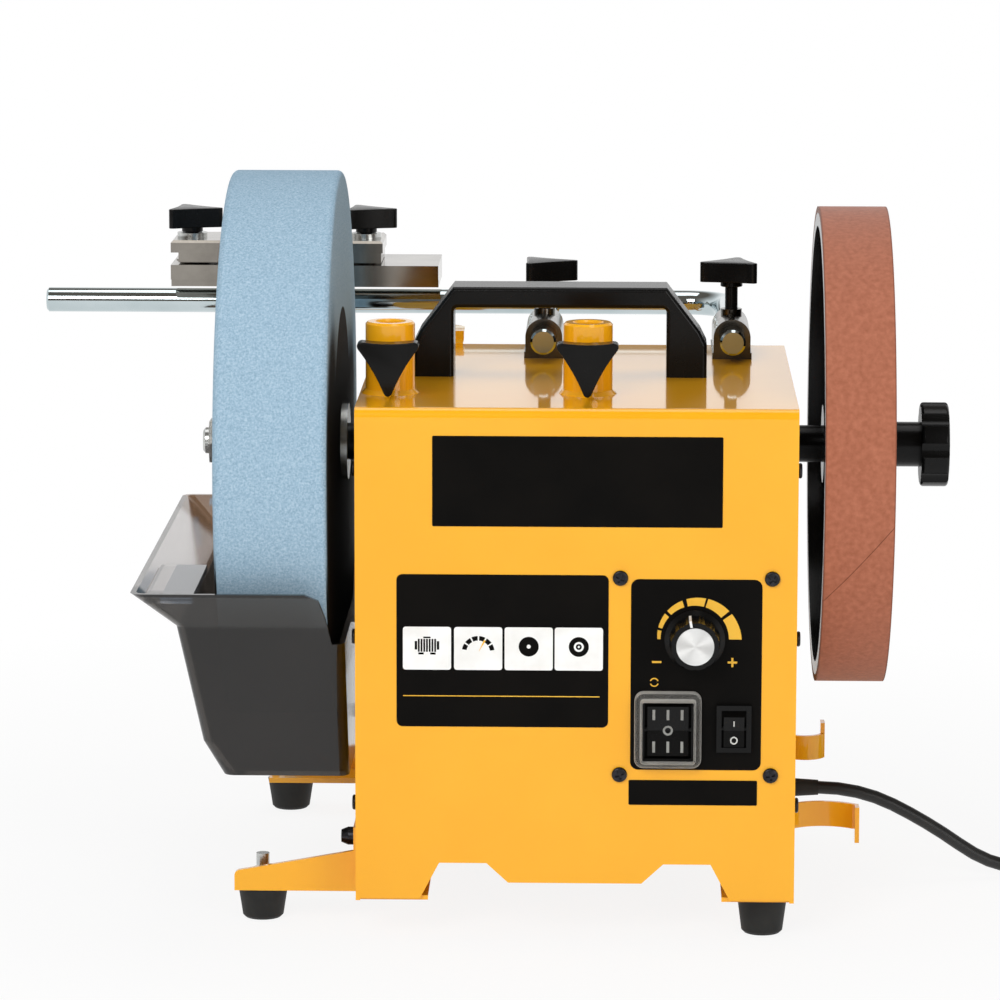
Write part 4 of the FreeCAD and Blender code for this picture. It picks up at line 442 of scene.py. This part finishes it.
# Mains lead: out of the gland, down to the bench, into a put-away coil and on to the plug; length in metres
lead = {"radius": 3, "coilX": 246, "coilY": 50.5, "coilRadius": 38.5, "bench": 3.3, "pitch": 6.6,
        "layers": 4, "layerTurns": 1.4375, "climbTurns": 0.5, "perTurn": 24, "length": 1.75,
        "fromGland": [(112, 0, 43.2), (131, 0, 43.2), (163, 1, 27), (193, 4, 5.2), (219, 11, 3.3), (240, 12, 3.3)],
        "toPlug": [(284.5, 56.5, 23.1), (284.5, 78.5, 23.1), (286.5, 108.5, 9.3), (286.5, 126.5, 9.3)]}


def coilPoints():
    # flat spirals, inward and outward in turn, with a rising half turn between two layers
    points = []
    radius, height, turn = lead["coilRadius"], lead["bench"], 0.0
    for layer in range(lead["layers"]):
        inward = -1 if layer % 2 == 0 else 1
        steps = round(lead["layerTurns"] * lead["perTurn"])
        for step in range(steps):
            share = step / steps * lead["layerTurns"]
            points.append((turn + share, radius + inward * lead["pitch"] * share, height))
        turn += lead["layerTurns"]
        radius += inward * lead["pitch"] * lead["layerTurns"]
        if layer == lead["layers"] - 1:
            points.append((turn, radius, height))
            break
        steps = round(lead["climbTurns"] * lead["perTurn"])
        for step in range(steps):
            way = math.pi * step / steps
            bulge = inward * lead["pitch"] / (2 * math.pi) * math.sin(way)
            points.append((turn + lead["climbTurns"] * step / steps, radius + bulge,
                           height + lead["pitch"] * (1 - math.cos(way)) / 2))
        turn += lead["climbTurns"]
        height += lead["pitch"]
    angles = [(2 * math.pi * t - math.pi / 2, r, h) for t, r, h in points]
    return [(lead["coilX"] + r * math.cos(a), lead["coilY"] + r * math.sin(a), h) for a, r, h in angles]


leadRoute = lead["fromGland"] + coilPoints() + lead["toPlug"]
leadCurve = bpy.data.curves.new("mainsLead", "CURVE")
leadCurve.dimensions = "3D"
leadCurve.bevel_depth = lead["radius"] / 1000
leadCurve.bevel_resolution = 5
leadCurve.resolution_u = 4
leadCurve.use_fill_caps = True
leadSpline = leadCurve.splines.new("NURBS")
leadSpline.points.add(len(leadRoute) - 1)
for point, spot in zip(leadSpline.points, leadRoute):
    point.co = (*at(*spot), 1)
leadSpline.use_endpoint_u = True
leadSpline.order_u = 3
mainsLead = bpy.data.objects.new("mainsLead", leadCurve)
bpy.context.scene.collection.objects.link(mainsLead)
leadCurve.materials.append(cordSheath)
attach(mainsLead, "frame")
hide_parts("cord_run", "cord_coil", "cord_tail")

# Tie round the put-away coil: a thin strap with its buckle on top
tie = {"turn": -45, "near": 27.0, "far": 40.95, "low": 0.29, "high": 26.35, "corner": 2.5, "wide": 8, "thick": 0.25,
       "buckleLong": 9, "buckleWide": 10, "buckleHigh": 2.4, "edge": 0.6}
clearSelection()
bpy.ops.mesh.primitive_plane_add(size=1, rotation=(math.pi / 2, 0, 0))
strap = newest("coilStrap")
strap.location = ((tie["near"] + tie["far"]) / 2000, tie["wide"] / 2000, (tie["low"] + tie["high"]) / 2000)
strap.scale = ((tie["far"] - tie["near"]) / 1000, (tie["high"] - tie["low"]) / 1000, 1)
applyPlace(strap)
editAll(strap)
bpy.ops.mesh.bevel(offset=tie["corner"] / 1000, segments=5, affect="VERTICES")
bpy.ops.mesh.select_all(action="SELECT")
bpy.ops.mesh.delete(type="ONLY_FACE")
bpy.ops.mesh.select_all(action="SELECT")
bpy.ops.mesh.extrude_edges_move(TRANSFORM_OT_translate={"value": (0, -tie["wide"] / 1000, 0)})
faceOutward()
editDone()
shapeWith(strap, "SOLIDIFY", thickness=tie["thick"] / 1000, offset=1)
clearSelection()
bpy.ops.mesh.primitive_cube_add(size=1, location=(
    (tie["near"] + tie["far"]) / 2000, 0, (tie["high"] + tie["buckleHigh"] / 2) / 1000))
buckle = newest("coilBuckle")
buckle.scale = (tie["buckleLong"] / 1000, tie["buckleWide"] / 1000, tie["buckleHigh"] / 1000)
applyPlace(buckle)
shapeWith(buckle, "BEVEL", width=tie["edge"] / 1000, segments=3)
coilTie = joinPieces([strap, buckle], "coilTie")
coilTie.matrix_world = (Matrix.Translation(at(lead["coilX"], lead["coilY"], 0))
                        @ Matrix.Rotation(math.radians(tie["turn"]), 4, "Z") @ coilTie.matrix_world)
applyPlace(coilTie)
finishPiece(coilTie, "frame", blackNylon)
print("lead laid,", len(leadRoute), "points")

# Flat film and ink on the front face; laid is the thickness of marks on a slanting face
frontFace = {"y": -119, "film": 0.25, "ink": 0.06, "laid": 0.05, "cornerSteps": 5, "arcStep": 6, "arcFewest": 4}


def flatPatch(name, left, right, low, high, corner, back, thick):
    clearSelection()
    middle = at((left + right) / 2, back, (low + high) / 2)
    bpy.ops.mesh.primitive_plane_add(size=1, location=middle, rotation=(math.pi / 2, 0, 0))
    patch = newest(name)
    patch.scale = ((right - left) / 1000, (high - low) / 1000, 1)
    applyPlace(patch)
    editAll(patch)
    if corner:
        bpy.ops.mesh.bevel(offset=corner / 1000, segments=frontFace["cornerSteps"], affect="VERTICES")
        bpy.ops.mesh.select_all(action="SELECT")
    if thick:
        extrude(0, -thick, 0)
    editDone()
    return patch


def arcPatch(name, x, z, inner, outer, start, end, back, thick, outerEnd=None):
    # a ring sector, from start to end degrees anticlockwise from the right, seen from the front
    clearSelection()
    bpy.ops.mesh.primitive_plane_add(size=1, location=(0, 0, 0))
    patch = newest(name)
    editAll(patch)
    bpy.ops.mesh.merge(type="CENTER")
    bpy.ops.transform.translate(value=(inner / 1000, 0, 0))
    bpy.ops.mesh.extrude_vertices_move(TRANSFORM_OT_translate={"value": ((outer - inner) / 1000, 0, 0)})
    bpy.ops.mesh.select_all(action="SELECT")
    steps = max(frontFace["arcFewest"], round(abs(end - start) / frontFace["arcStep"]))
    bpy.ops.mesh.spin(steps=steps, angle=math.radians(start - end), center=(0, 0, 0), axis=(0, 0, 1))
    editDone()
    if outerEnd:
        span = math.radians(abs(end - start))
        for vertex in patch.data.vertices:
            flat = Vector((vertex.co.x, vertex.co.y))
            if flat.length > (inner + outer) / 2000:
                share = min(1, abs(math.atan2(flat.y, flat.x)) / span)
                vertex.co *= (outer + (outerEnd - outer) * share) / (flat.length * 1000)
    editAll(patch)
    bpy.ops.mesh.remove_doubles(threshold=1e-6)
    if thick:
        extrude(0, 0, thick)
        faceOutward()
    editDone()
    patch.matrix_world = (Matrix.Translation(at(x, back, z)) @ Matrix.Rotation(math.pi / 2, 4, "X")
                          @ Matrix.Rotation(math.radians(start), 4, "Z"))
    applyPlace(patch)
    return patch


plates = {
    "upperPlate": {"left": -63, "right": 64, "low": 186, "high": 226, "corner": 0.6},
    "dataPlate": {"left": -78.7, "right": 14.4, "low": 96.5, "high": 164.6, "corner": 2.6},
    "controlPlate": {"left": 24.2, "right": 81.7, "low": 77.7, "high": 163, "corner": 3.5},
    "lowerStrip": {"left": 23.6, "right": 80.2, "low": 61.8, "high": 73, "corner": 0.6}}
for name, plate in plates.items():
    piece = flatPatch(name, **plate, back=frontFace["y"], thick=frontFace["film"])
    finishPiece(piece, "frame", printedBlack)
print("plates laid")

inkBack = frontFace["y"] - frontFace["film"]

# Speed scale: six bars that widen to the right, with less and more signs
speedScale = {"inner": 15, "thin": 16.4, "thick": 20.6,
              "bars": ((166, 180), (139, 162), (108, 134), (75, 102), (40, 72), (0, 35)),
              "signX": 16.6, "signZ": 126.1, "signLong": 4.2, "signWide": 0.9, "signCorner": 0.2, "crossRise": 0.01}


def scaleWidth(angle):
    return speedScale["thick"] + (speedScale["thin"] - speedScale["thick"]) * angle / 180


def signBar(x, halfWide, halfHigh, thick):
    return flatPatch("signBar", x - halfWide, x + halfWide, speedScale["signZ"] - halfHigh,
                     speedScale["signZ"] + halfHigh, speedScale["signCorner"], inkBack, thick)


scaleMarks = [arcPatch("scaleBar", dial["x"], dial["z"], speedScale["inner"], scaleWidth(low),
                       low, high, inkBack, frontFace["ink"], scaleWidth(high)) for low, high in speedScale["bars"]]
half, thin = speedScale["signLong"] / 2, speedScale["signWide"] / 2
for side in (-1, 1):
    scaleMarks.append(signBar(dial["x"] + side * speedScale["signX"], half, thin, frontFace["ink"]))
scaleMarks.append(signBar(dial["x"] + speedScale["signX"], thin, half, frontFace["ink"] + speedScale["crossRise"]))
finishPiece(joinPieces(scaleMarks, "speedScaleMarks"), "frame", yellowInk)

# Data plate: four white fields with plain pictures of the drive, the speed and the two wheels
fieldRow = {"low": 122.0, "high": 141.2, "lefts": (-75.9, -53.4, -31.2, -9.2), "wide": 21.2, "corner": 1.2}
fields = [flatPatch("dataField", left, left + fieldRow["wide"], fieldRow["low"], fieldRow["high"],
                    fieldRow["corner"], inkBack, frontFace["ink"]) for left in fieldRow["lefts"]]
finishPiece(joinPieces(fields, "dataFields"), "frame", whiteInk)
pictures = {"z": 132.6, "ribs": 7, "ribStep": 1.2, "ribHalf": 0.4, "ribLow": -2.6, "ribHigh": 3.2, "ribCorner": 0.15,
            "blocks": ((-5.4, -4.3, -1.6, 2.2), (4.3, 5.4, -1.6, 2.2), (-3.8, -1.4, -3.8, -2.9),
                       (1.4, 3.8, -3.8, -2.9), (-1.6, 1.6, 3.5, 4.2)), "blockCorner": 0.2,
            "bars": 6, "barFrom": 8, "barStep": 28, "barLong": 22, "barInner": 5.2, "barOuter": 7.2, "barDrop": 2.6,
            "needleFrom": 58, "needleTo": 66, "needleInner": 0.6, "needleOuter": 6.2, "needleDrop": 2.8,
            "needleRise": 0.02, "wheelRings": ((2, 0.9, 4.4), (3, 2.2, 4.4), (3, 0.5, 1.3)),
            "rule": (-75.9, 10.6, 110.1, 110.5)}
pictureBack = inkBack - frontFace["ink"]
pictureZ = pictures["z"]
fieldMiddles = [left + fieldRow["wide"] / 2 for left in fieldRow["lefts"]]
driveX, gaugeX = fieldMiddles[:2]
darkParts = []
for index in range(pictures["ribs"]):
    ribX = driveX + (index - (pictures["ribs"] - 1) / 2) * pictures["ribStep"]
    darkParts.append(flatPatch("driveRib", ribX - pictures["ribHalf"], ribX + pictures["ribHalf"],
                               pictureZ + pictures["ribLow"], pictureZ + pictures["ribHigh"], pictures["ribCorner"],
                               pictureBack, frontFace["ink"]))
for left, right, low, high in pictures["blocks"]:
    darkParts.append(flatPatch("drivePart", driveX + left, driveX + right, pictureZ + low, pictureZ + high,
                               pictures["blockCorner"], pictureBack, frontFace["ink"]))
for index in range(pictures["bars"]):
    bar = pictures["barFrom"] + index * pictures["barStep"]
    darkParts.append(arcPatch("gaugeBar", gaugeX, pictureZ - pictures["barDrop"], pictures["barInner"],
                              pictures["barOuter"], bar, bar + pictures["barLong"], pictureBack, frontFace["ink"]))
needle = arcPatch("gaugeNeedle", gaugeX, pictureZ - pictures["needleDrop"], pictures["needleInner"],
                  pictures["needleOuter"], pictures["needleFrom"], pictures["needleTo"], pictureBack,
                  frontFace["ink"] + pictures["needleRise"])
for field, inner, outer in pictures["wheelRings"]:
    darkParts.append(arcPatch("wheelRing", fieldMiddles[field], pictureZ, inner, outer, 0, 360, pictureBack,
                              frontFace["ink"]))
finishPiece(joinPieces(darkParts, "dataPictures"), "frame", printedBlack)
rule = flatPatch("dataRule", *pictures["rule"], 0, inkBack, frontFace["ink"])
finishPiece(joinPieces([needle, rule], "dataRules"), "frame", yellowInk)


def layOn(piece, node):
    # marks on a slanting face are laid on its CAD solid
    shapeWith(piece, "SHRINKWRAP", target=nodes[node], wrap_method="PROJECT", use_project_y=True,
              use_negative_direction=True, use_positive_direction=True, offset=frontFace["laid"] / 1000)
    shapeWith(piece, "SOLIDIFY", thickness=frontFace["laid"] / 1000, offset=1)


def layMarks(name, marks, node, body, ink):
    low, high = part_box(node)
    x, z = (low[0] + high[0]) * 500 - drawingShift["x"], (low[2] + high[2]) * 500
    y = low[1] * 1000 - drawingShift["y"] - marks["standOff"]
    patches = [flatPatch(name, x + left, x + right, z + foot, z + head, 0, y, 0)
               for left, right, foot, head in marks["bars"]]
    patches.append(arcPatch(name, x, z + marks["ringZ"], marks["inner"], marks["outer"], 0, 360, y, 0))
    piece = joinPieces(patches, name)
    layOn(piece, node)
    finishPiece(piece, body, ink)


# Reversing rocker: bars for either way and a ring for off; on-off rocker: line and ring
rockerBar = {"x": (-6.2, 0, 6.2), "z": (-7.2, 7.2), "halfWide": 0.6, "halfHigh": 2.4}
reverseBars = [(x - rockerBar["halfWide"], x + rockerBar["halfWide"], z - rockerBar["halfHigh"],
                z + rockerBar["halfHigh"]) for x in rockerBar["x"] for z in rockerBar["z"]]
reverseMarks = {"bars": reverseBars, "ringZ": 0, "inner": 1.3, "outer": 2.2, "standOff": 0.5}
powerMarks = {"bars": [(-0.3, 0.3, 2.4, 5.0)], "ringZ": -4.0, "inner": 1.1, "outer": 1.7, "standOff": 0.5}
layMarks("reverseMarks", reverseMarks, "reverse_rocker", "reverse_rocker_part", dullInk)
layMarks("powerMarks", powerMarks, "power_rocker", "power_rocker_part", paleInk)

# Clear boot over the reversing switch: a flange step and a raised window, blown as one skin
boot = {"left": 25.95, "right": 55.45, "low": 79.1, "high": 113.1, "corner": 4, "step": 4.2, "inset": 2.8,
        "rise": 5.2, "skin": 0.7, "round": 0.9, "roundFrom": 40}
cover = flatPatch("switchBoot", boot["left"], boot["right"], boot["low"], boot["high"], boot["corner"],
                  frontFace["y"] - frontFace["film"] / 2, 0)
editAll(cover)
extrude(0, -boot["step"], 0)
bpy.ops.mesh.inset(thickness=boot["inset"] / 1000)
extrude(0, -boot["rise"], 0)
editDone()
backY = max(polygon.center.y for polygon in cover.data.polygons)
for polygon in cover.data.polygons:
    polygon.select = abs(polygon.center.y - backY) < 1e-6 and abs(polygon.normal.y) > 0.9
bpy.ops.object.mode_set(mode="EDIT")
bpy.ops.mesh.select_mode(type="FACE")
bpy.ops.mesh.delete(type="FACE")
bpy.ops.mesh.select_mode(type="VERT")
faceOutward()
editDone()
shapeWith(cover, "BEVEL", width=boot["round"] / 1000, segments=4, limit_method="ANGLE",
          angle_limit=math.radians(boot["roundFrom"]))
shapeWith(cover, "SOLIDIFY", thickness=boot["skin"] / 1000, offset=-1)
finishPiece(cover, "frame", clearPvc)
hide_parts("switch_boot")

# Speed knob's pointer: a white line over the grip and down to the skirt
pointer = {"turn": 11, "wide": 1.1, "radius": 11.25, "rise": 0.25, "front": -136.4, "back": -123.7, "inner": 8.5,
           "sink": 0.3, "faceRise": 0.2, "edge": 0.1}
pointerTop = pointer["radius"] + pointer["rise"]
lines = []
for name, low, near, far in (
        ("gripLine", pointer["radius"] - pointer["sink"], pointer["front"], pointer["back"]),
        ("faceLine", pointer["inner"], pointer["front"] - pointer["faceRise"], pointer["front"] + pointer["sink"])):
    clearSelection()
    bpy.ops.mesh.primitive_cube_add(size=1)
    line = newest(name)
    line.scale = (pointer["wide"] / 1000, (far - near) / 1000, (pointerTop - low) / 1000)
    applyPlace(line)
    shapeWith(line, "BEVEL", width=pointer["edge"] / 1000)
    line.matrix_world = (Matrix.Translation(at(dial["x"], (near + far) / 2, dial["z"]))
                         @ Matrix.Rotation(-math.radians(pointer["turn"]), 4, "Y")
                         @ Matrix.Translation((0, 0, (low + pointerTop) / 2000)))
    applyPlace(line)
    lines.append(line)
finishPiece(joinPieces(lines, "speedPointer"), "speed_dial", whiteInk)

# Case screws: pan heads with a cross recess, one modelled and the rest copied, each turned further
screw = {"radius": 3.4, "head": 1.8, "round": 1.1, "slotLong": 4.2, "slotWide": 1.1, "slotDeep": 1.3, "half": 97,
         "slotTurn": 0.4, "turnStep": 0.7,
         "panelX": (19.5, 86), "panelZ": (75.5, 163.5), "sideY": (-110, 87), "sideZ": (60, 135, 210)}
clearSelection()
bpy.ops.mesh.primitive_cylinder_add(vertices=32, radius=screw["radius"] / 1000, depth=screw["head"] / 1000,
                                    location=(0, 0, screw["head"] / 2000))
screwHead = newest("screwHead")
applyPlace(screwHead)
shapeWith(screwHead, "BEVEL", width=screw["round"] / 1000, segments=4, limit_method="ANGLE")
for turn in (screw["slotTurn"], screw["slotTurn"] + math.pi / 2):
    clearSelection()
    bpy.ops.mesh.primitive_cube_add(size=1, location=(0, 0, screw["head"] / 1000), rotation=(0, 0, turn))
    cutter = newest("screwSlot")
    cutter.scale = (screw["slotLong"] / 1000, screw["slotWide"] / 1000, screw["slotDeep"] * 2 / 1000)
    applyPlace(cutter)
    shapeWith(screwHead, "BOOLEAN", operation="DIFFERENCE", solver="EXACT", object=cutter)
    bpy.data.objects.remove(cutter)
spots = [(at(x, frontFace["y"], z), Matrix.Rotation(math.pi / 2, 4, "X"))
         for x in screw["panelX"] for z in screw["panelZ"]]
spots += [(at(side * screw["half"], y, z), Matrix.Rotation(side * math.pi / 2, 4, "Y"))
          for side in (-1, 1) for y in screw["sideY"] for z in screw["sideZ"]]
heads = []
for index, (spot, way) in enumerate(spots):
    head = copyOf(screwHead)
    head.matrix_world = Matrix.Translation(spot) @ way @ Matrix.Rotation(index * screw["turnStep"], 4, "Z")
    applyPlace(head)
    heads.append(head)
bpy.data.objects.remove(screwHead)
caseScrews = finishPiece(joinPieces(heads, "caseScrews"), "frame", blackOxide)
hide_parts("case_screws")

# Clamp knobs: three-cornered grips with hollowed sides, one modelled and the rest copied, each with its own stud;
# upright ones have a turn in degrees, the two front ones face forward
knob = {"side": 30, "thick": 9.5, "collar": 2.5, "collarRadius": 5.2, "corner": 3.6, "dip": 0.8, "dipReach": 11.3,
        "edge": 0.8, "edgeFrom": 60, "cuts": 7, "smooth": 15, "stemEdge": 0.3, "overlap": 0.1, "sideSlack": 0.05}
knobTurns = {"front_knob_left": None, "front_knob_right": None, "rear_knob_left": 90, "rear_knob_right": 287,
             "jig_knob_left": 80, "jig_knob_right": 80}
knobInner = knob["side"] / (2 * math.sqrt(3))
knobOuter = 2 * knobInner / 1000
clearSelection()
bpy.ops.mesh.primitive_circle_add(vertices=3, radius=knobOuter, fill_type="NGON")
knobGrip = newest("knobGrip")
for index, vertex in enumerate(sorted(knobGrip.data.vertices, key=lambda v: math.atan2(v.co.y, v.co.x))):
    corner = math.radians(-90 + 120 * index)
    vertex.co = (knobOuter * math.cos(corner), knobOuter * math.sin(corner), 0)
editAll(knobGrip)
bpy.ops.mesh.bevel(offset=knob["corner"] / 1000, segments=6, affect="VERTICES")
bpy.ops.mesh.select_all(action="SELECT")
bpy.ops.mesh.subdivide(number_cuts=knob["cuts"])
editDone()
for vertex in knobGrip.data.vertices:
    for side in (90, 210, 330):
        out = Vector((math.cos(math.radians(side)), math.sin(math.radians(side)), 0))
        reach = abs(vertex.co.x * out.y - vertex.co.y * out.x) * 1000
        if vertex.co.dot(out) * 1000 > knobInner - knob["sideSlack"] and reach < knob["dipReach"]:
            vertex.co -= out * knob["dip"] / 1000 * (1 - (reach / knob["dipReach"]) ** 2)
            break
editAll(knobGrip)
extrude(0, 0, knob["thick"])
bpy.ops.mesh.select_all(action="SELECT")
bpy.ops.transform.translate(value=(0, 0, knob["collar"] / 1000))
faceOutward()
editDone()
shapeWith(knobGrip, "BEVEL", width=knob["edge"] / 1000, segments=3, limit_method="ANGLE",
          angle_limit=math.radians(knob["edgeFrom"]))
for name, turn in knobTurns.items():
    up = Vector((0, -1, 0)) if turn is None else Vector((0, 0, 1))
    way = Matrix.Rotation(math.pi / 2, 4, "X") if turn is None else Matrix.Rotation(math.radians(turn), 4, "Z")
    corners = [vertex.co.copy() for vertex in nodes[name].data.vertices]
    low, high = min(c.dot(up) for c in corners), max(c.dot(up) for c in corners)
    tip = [c for c in corners if c.dot(up) < low + 1e-5]
    tipMiddle = Vector([(min(c[i] for c in tip) + max(c[i] for c in tip)) / 2 for i in range(3)])
    studRadius = (max(c.x for c in tip) - min(c.x for c in tip)) / 2
    studLong = high - low - (knob["collar"] + knob["thick"]) / 1000
    wholeParts = [copyOf(knobGrip)]
    for radius, foot, head in ((knob["collarRadius"] / 1000, 0, (knob["collar"] + knob["overlap"]) / 1000),
                               (studRadius, -studLong, knob["overlap"] / 1000)):
        clearSelection()
        bpy.ops.mesh.primitive_cylinder_add(vertices=32, radius=radius, depth=head - foot,
                                            location=(0, 0, (head + foot) / 2))
        stem = newest("knobStem")
        applyPlace(stem)
        shapeWith(stem, "BEVEL", width=knob["stemEdge"] / 1000, limit_method="ANGLE")
        wholeParts.append(stem)
    words = name.split("_")
    whole = joinPieces(wholeParts, words[0] + "".join(word.capitalize() for word in words[1:]))
    whole.matrix_world = Matrix.Translation(tipMiddle + up * studLong) @ way
    applyPlace(whole)
    finishPiece(whole, body_of(nodes[name])[0], blackNylon, knob["smooth"])
    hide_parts(name)
bpy.data.objects.remove(knobGrip)
print("knobs made")

# Turning sign above the reversing switch: a small open ring
turnSign = {"x": 34.6, "z": 117.0, "inner": 1.5, "outer": 2.0, "starts": (20, 200), "span": 140}
turnSigns = [arcPatch("turnSign", turnSign["x"], turnSign["z"], turnSign["inner"], turnSign["outer"],
                      start, start + turnSign["span"], inkBack, frontFace["ink"]) for start in turnSign["starts"]]
finishPiece(joinPieces(turnSigns, "turnSigns"), "frame", yellowInk)
print("marks printed")

# Studio in metres: pale floor that keeps a shadow near the object, and white surroundings, which metal mirrors
# as a room that darkens towards the camera and overhead
studio = {"floor": 8, "floorZ": -0.0005, "shadowFrom": 0.25, "shadowTo": 0.6, "shadowShare": 0.88,
          "darkY": -0.7, "paleY": 0.1, "darkZ": 0.75, "paleZ": 0.3, "lampShare": 0.4}
white = hexColour("#FFFFFF")
bpy.ops.mesh.primitive_plane_add(size=studio["floor"], location=(0, 0, studio["floorZ"]))
floor = newest("studioFloor")
floorPaint, tree, shader, place = newMaterial("palePaper", {"Roughness": 0.9, "Specular IOR Level": 0.0})
mottle(tree, shader, place, 300, "#F2F2F2", "#F6F6F6")
ray = addNode(tree, "ShaderNodeLightPath").outputs
glow = addNode(tree, "ShaderNodeEmission", {"Color": white, "Strength": 1.0}).outputs["Emission"]
fade = mapped(tree, vectorMaths(tree, "LENGTH", place)["Value"], studio["shadowFrom"], studio["shadowTo"],
              studio["shadowShare"], 1.0)
mirrored = maths(tree, "MAXIMUM", ray["Is Glossy Ray"], ray["Is Transmission Ray"])
share = maths(tree, "MULTIPLY", maths(tree, "MAXIMUM", ray["Is Camera Ray"], mirrored), fade)
tree.links.new(shaderMix(tree, share, shader.outputs["BSDF"], glow),
               tree.nodes["Material Output"].inputs["Surface"])
floor.data.materials.append(floorPaint)

world = bpy.data.worlds.new("studioWhite")
bpy.context.scene.world = world
world.use_nodes = True
tree = world.node_tree
tree.nodes.clear()
ray = addNode(tree, "ShaderNodeLightPath").outputs
apart = splitAxes(tree, addNode(tree, "ShaderNodeTexCoord").outputs["Generated"])
depth = mapped(tree, apart["Y"], studio["darkY"], studio["paleY"])
height = mapped(tree, apart["Z"], studio["darkZ"], studio["paleZ"])
room = mixed(tree, maths(tree, "MULTIPLY", depth, height), hexColour("#6A635B"), white)


def background(colour, strength):
    return addNode(tree, "ShaderNodeBackground", {"Color": colour, "Strength": strength}).outputs["Background"]


seen = maths(tree, "MAXIMUM", ray["Is Camera Ray"], ray["Is Transmission Ray"])
glossyMix = shaderMix(tree, ray["Is Glossy Ray"], background(white, studio["lampShare"]), background(room, 1.0))
seenMix = shaderMix(tree, seen, glossyMix, background(white, 1.0))
addNode(tree, "ShaderNodeOutputWorld", {"Surface": seenMix})

softBoxes = {
    "keyBox": {"place": (-0.8, -2.2, 1.5), "aim": (0, 0, 0.2), "size": 1.1, "power": 30},
    "fillBox": {"place": (1.3, -2.0, 0.7), "aim": (0, 0, 0.2), "size": 1.0, "power": 11},
    "topBox": {"place": (0.1, 0.3, 2.0), "aim": (0, 0, 0.2), "size": 1.2, "power": 9}}
for name, box in softBoxes.items():
    bpy.ops.object.light_add(type="AREA", location=box["place"])
    lamp = newest(name)
    lamp.data.energy = box["power"]
    lamp.data.size = box["size"]
    lamp.rotation_euler = (Vector(box["aim"]) - Vector(box["place"])).to_track_quat("-Z", "Y").to_euler()
print("studio lit")
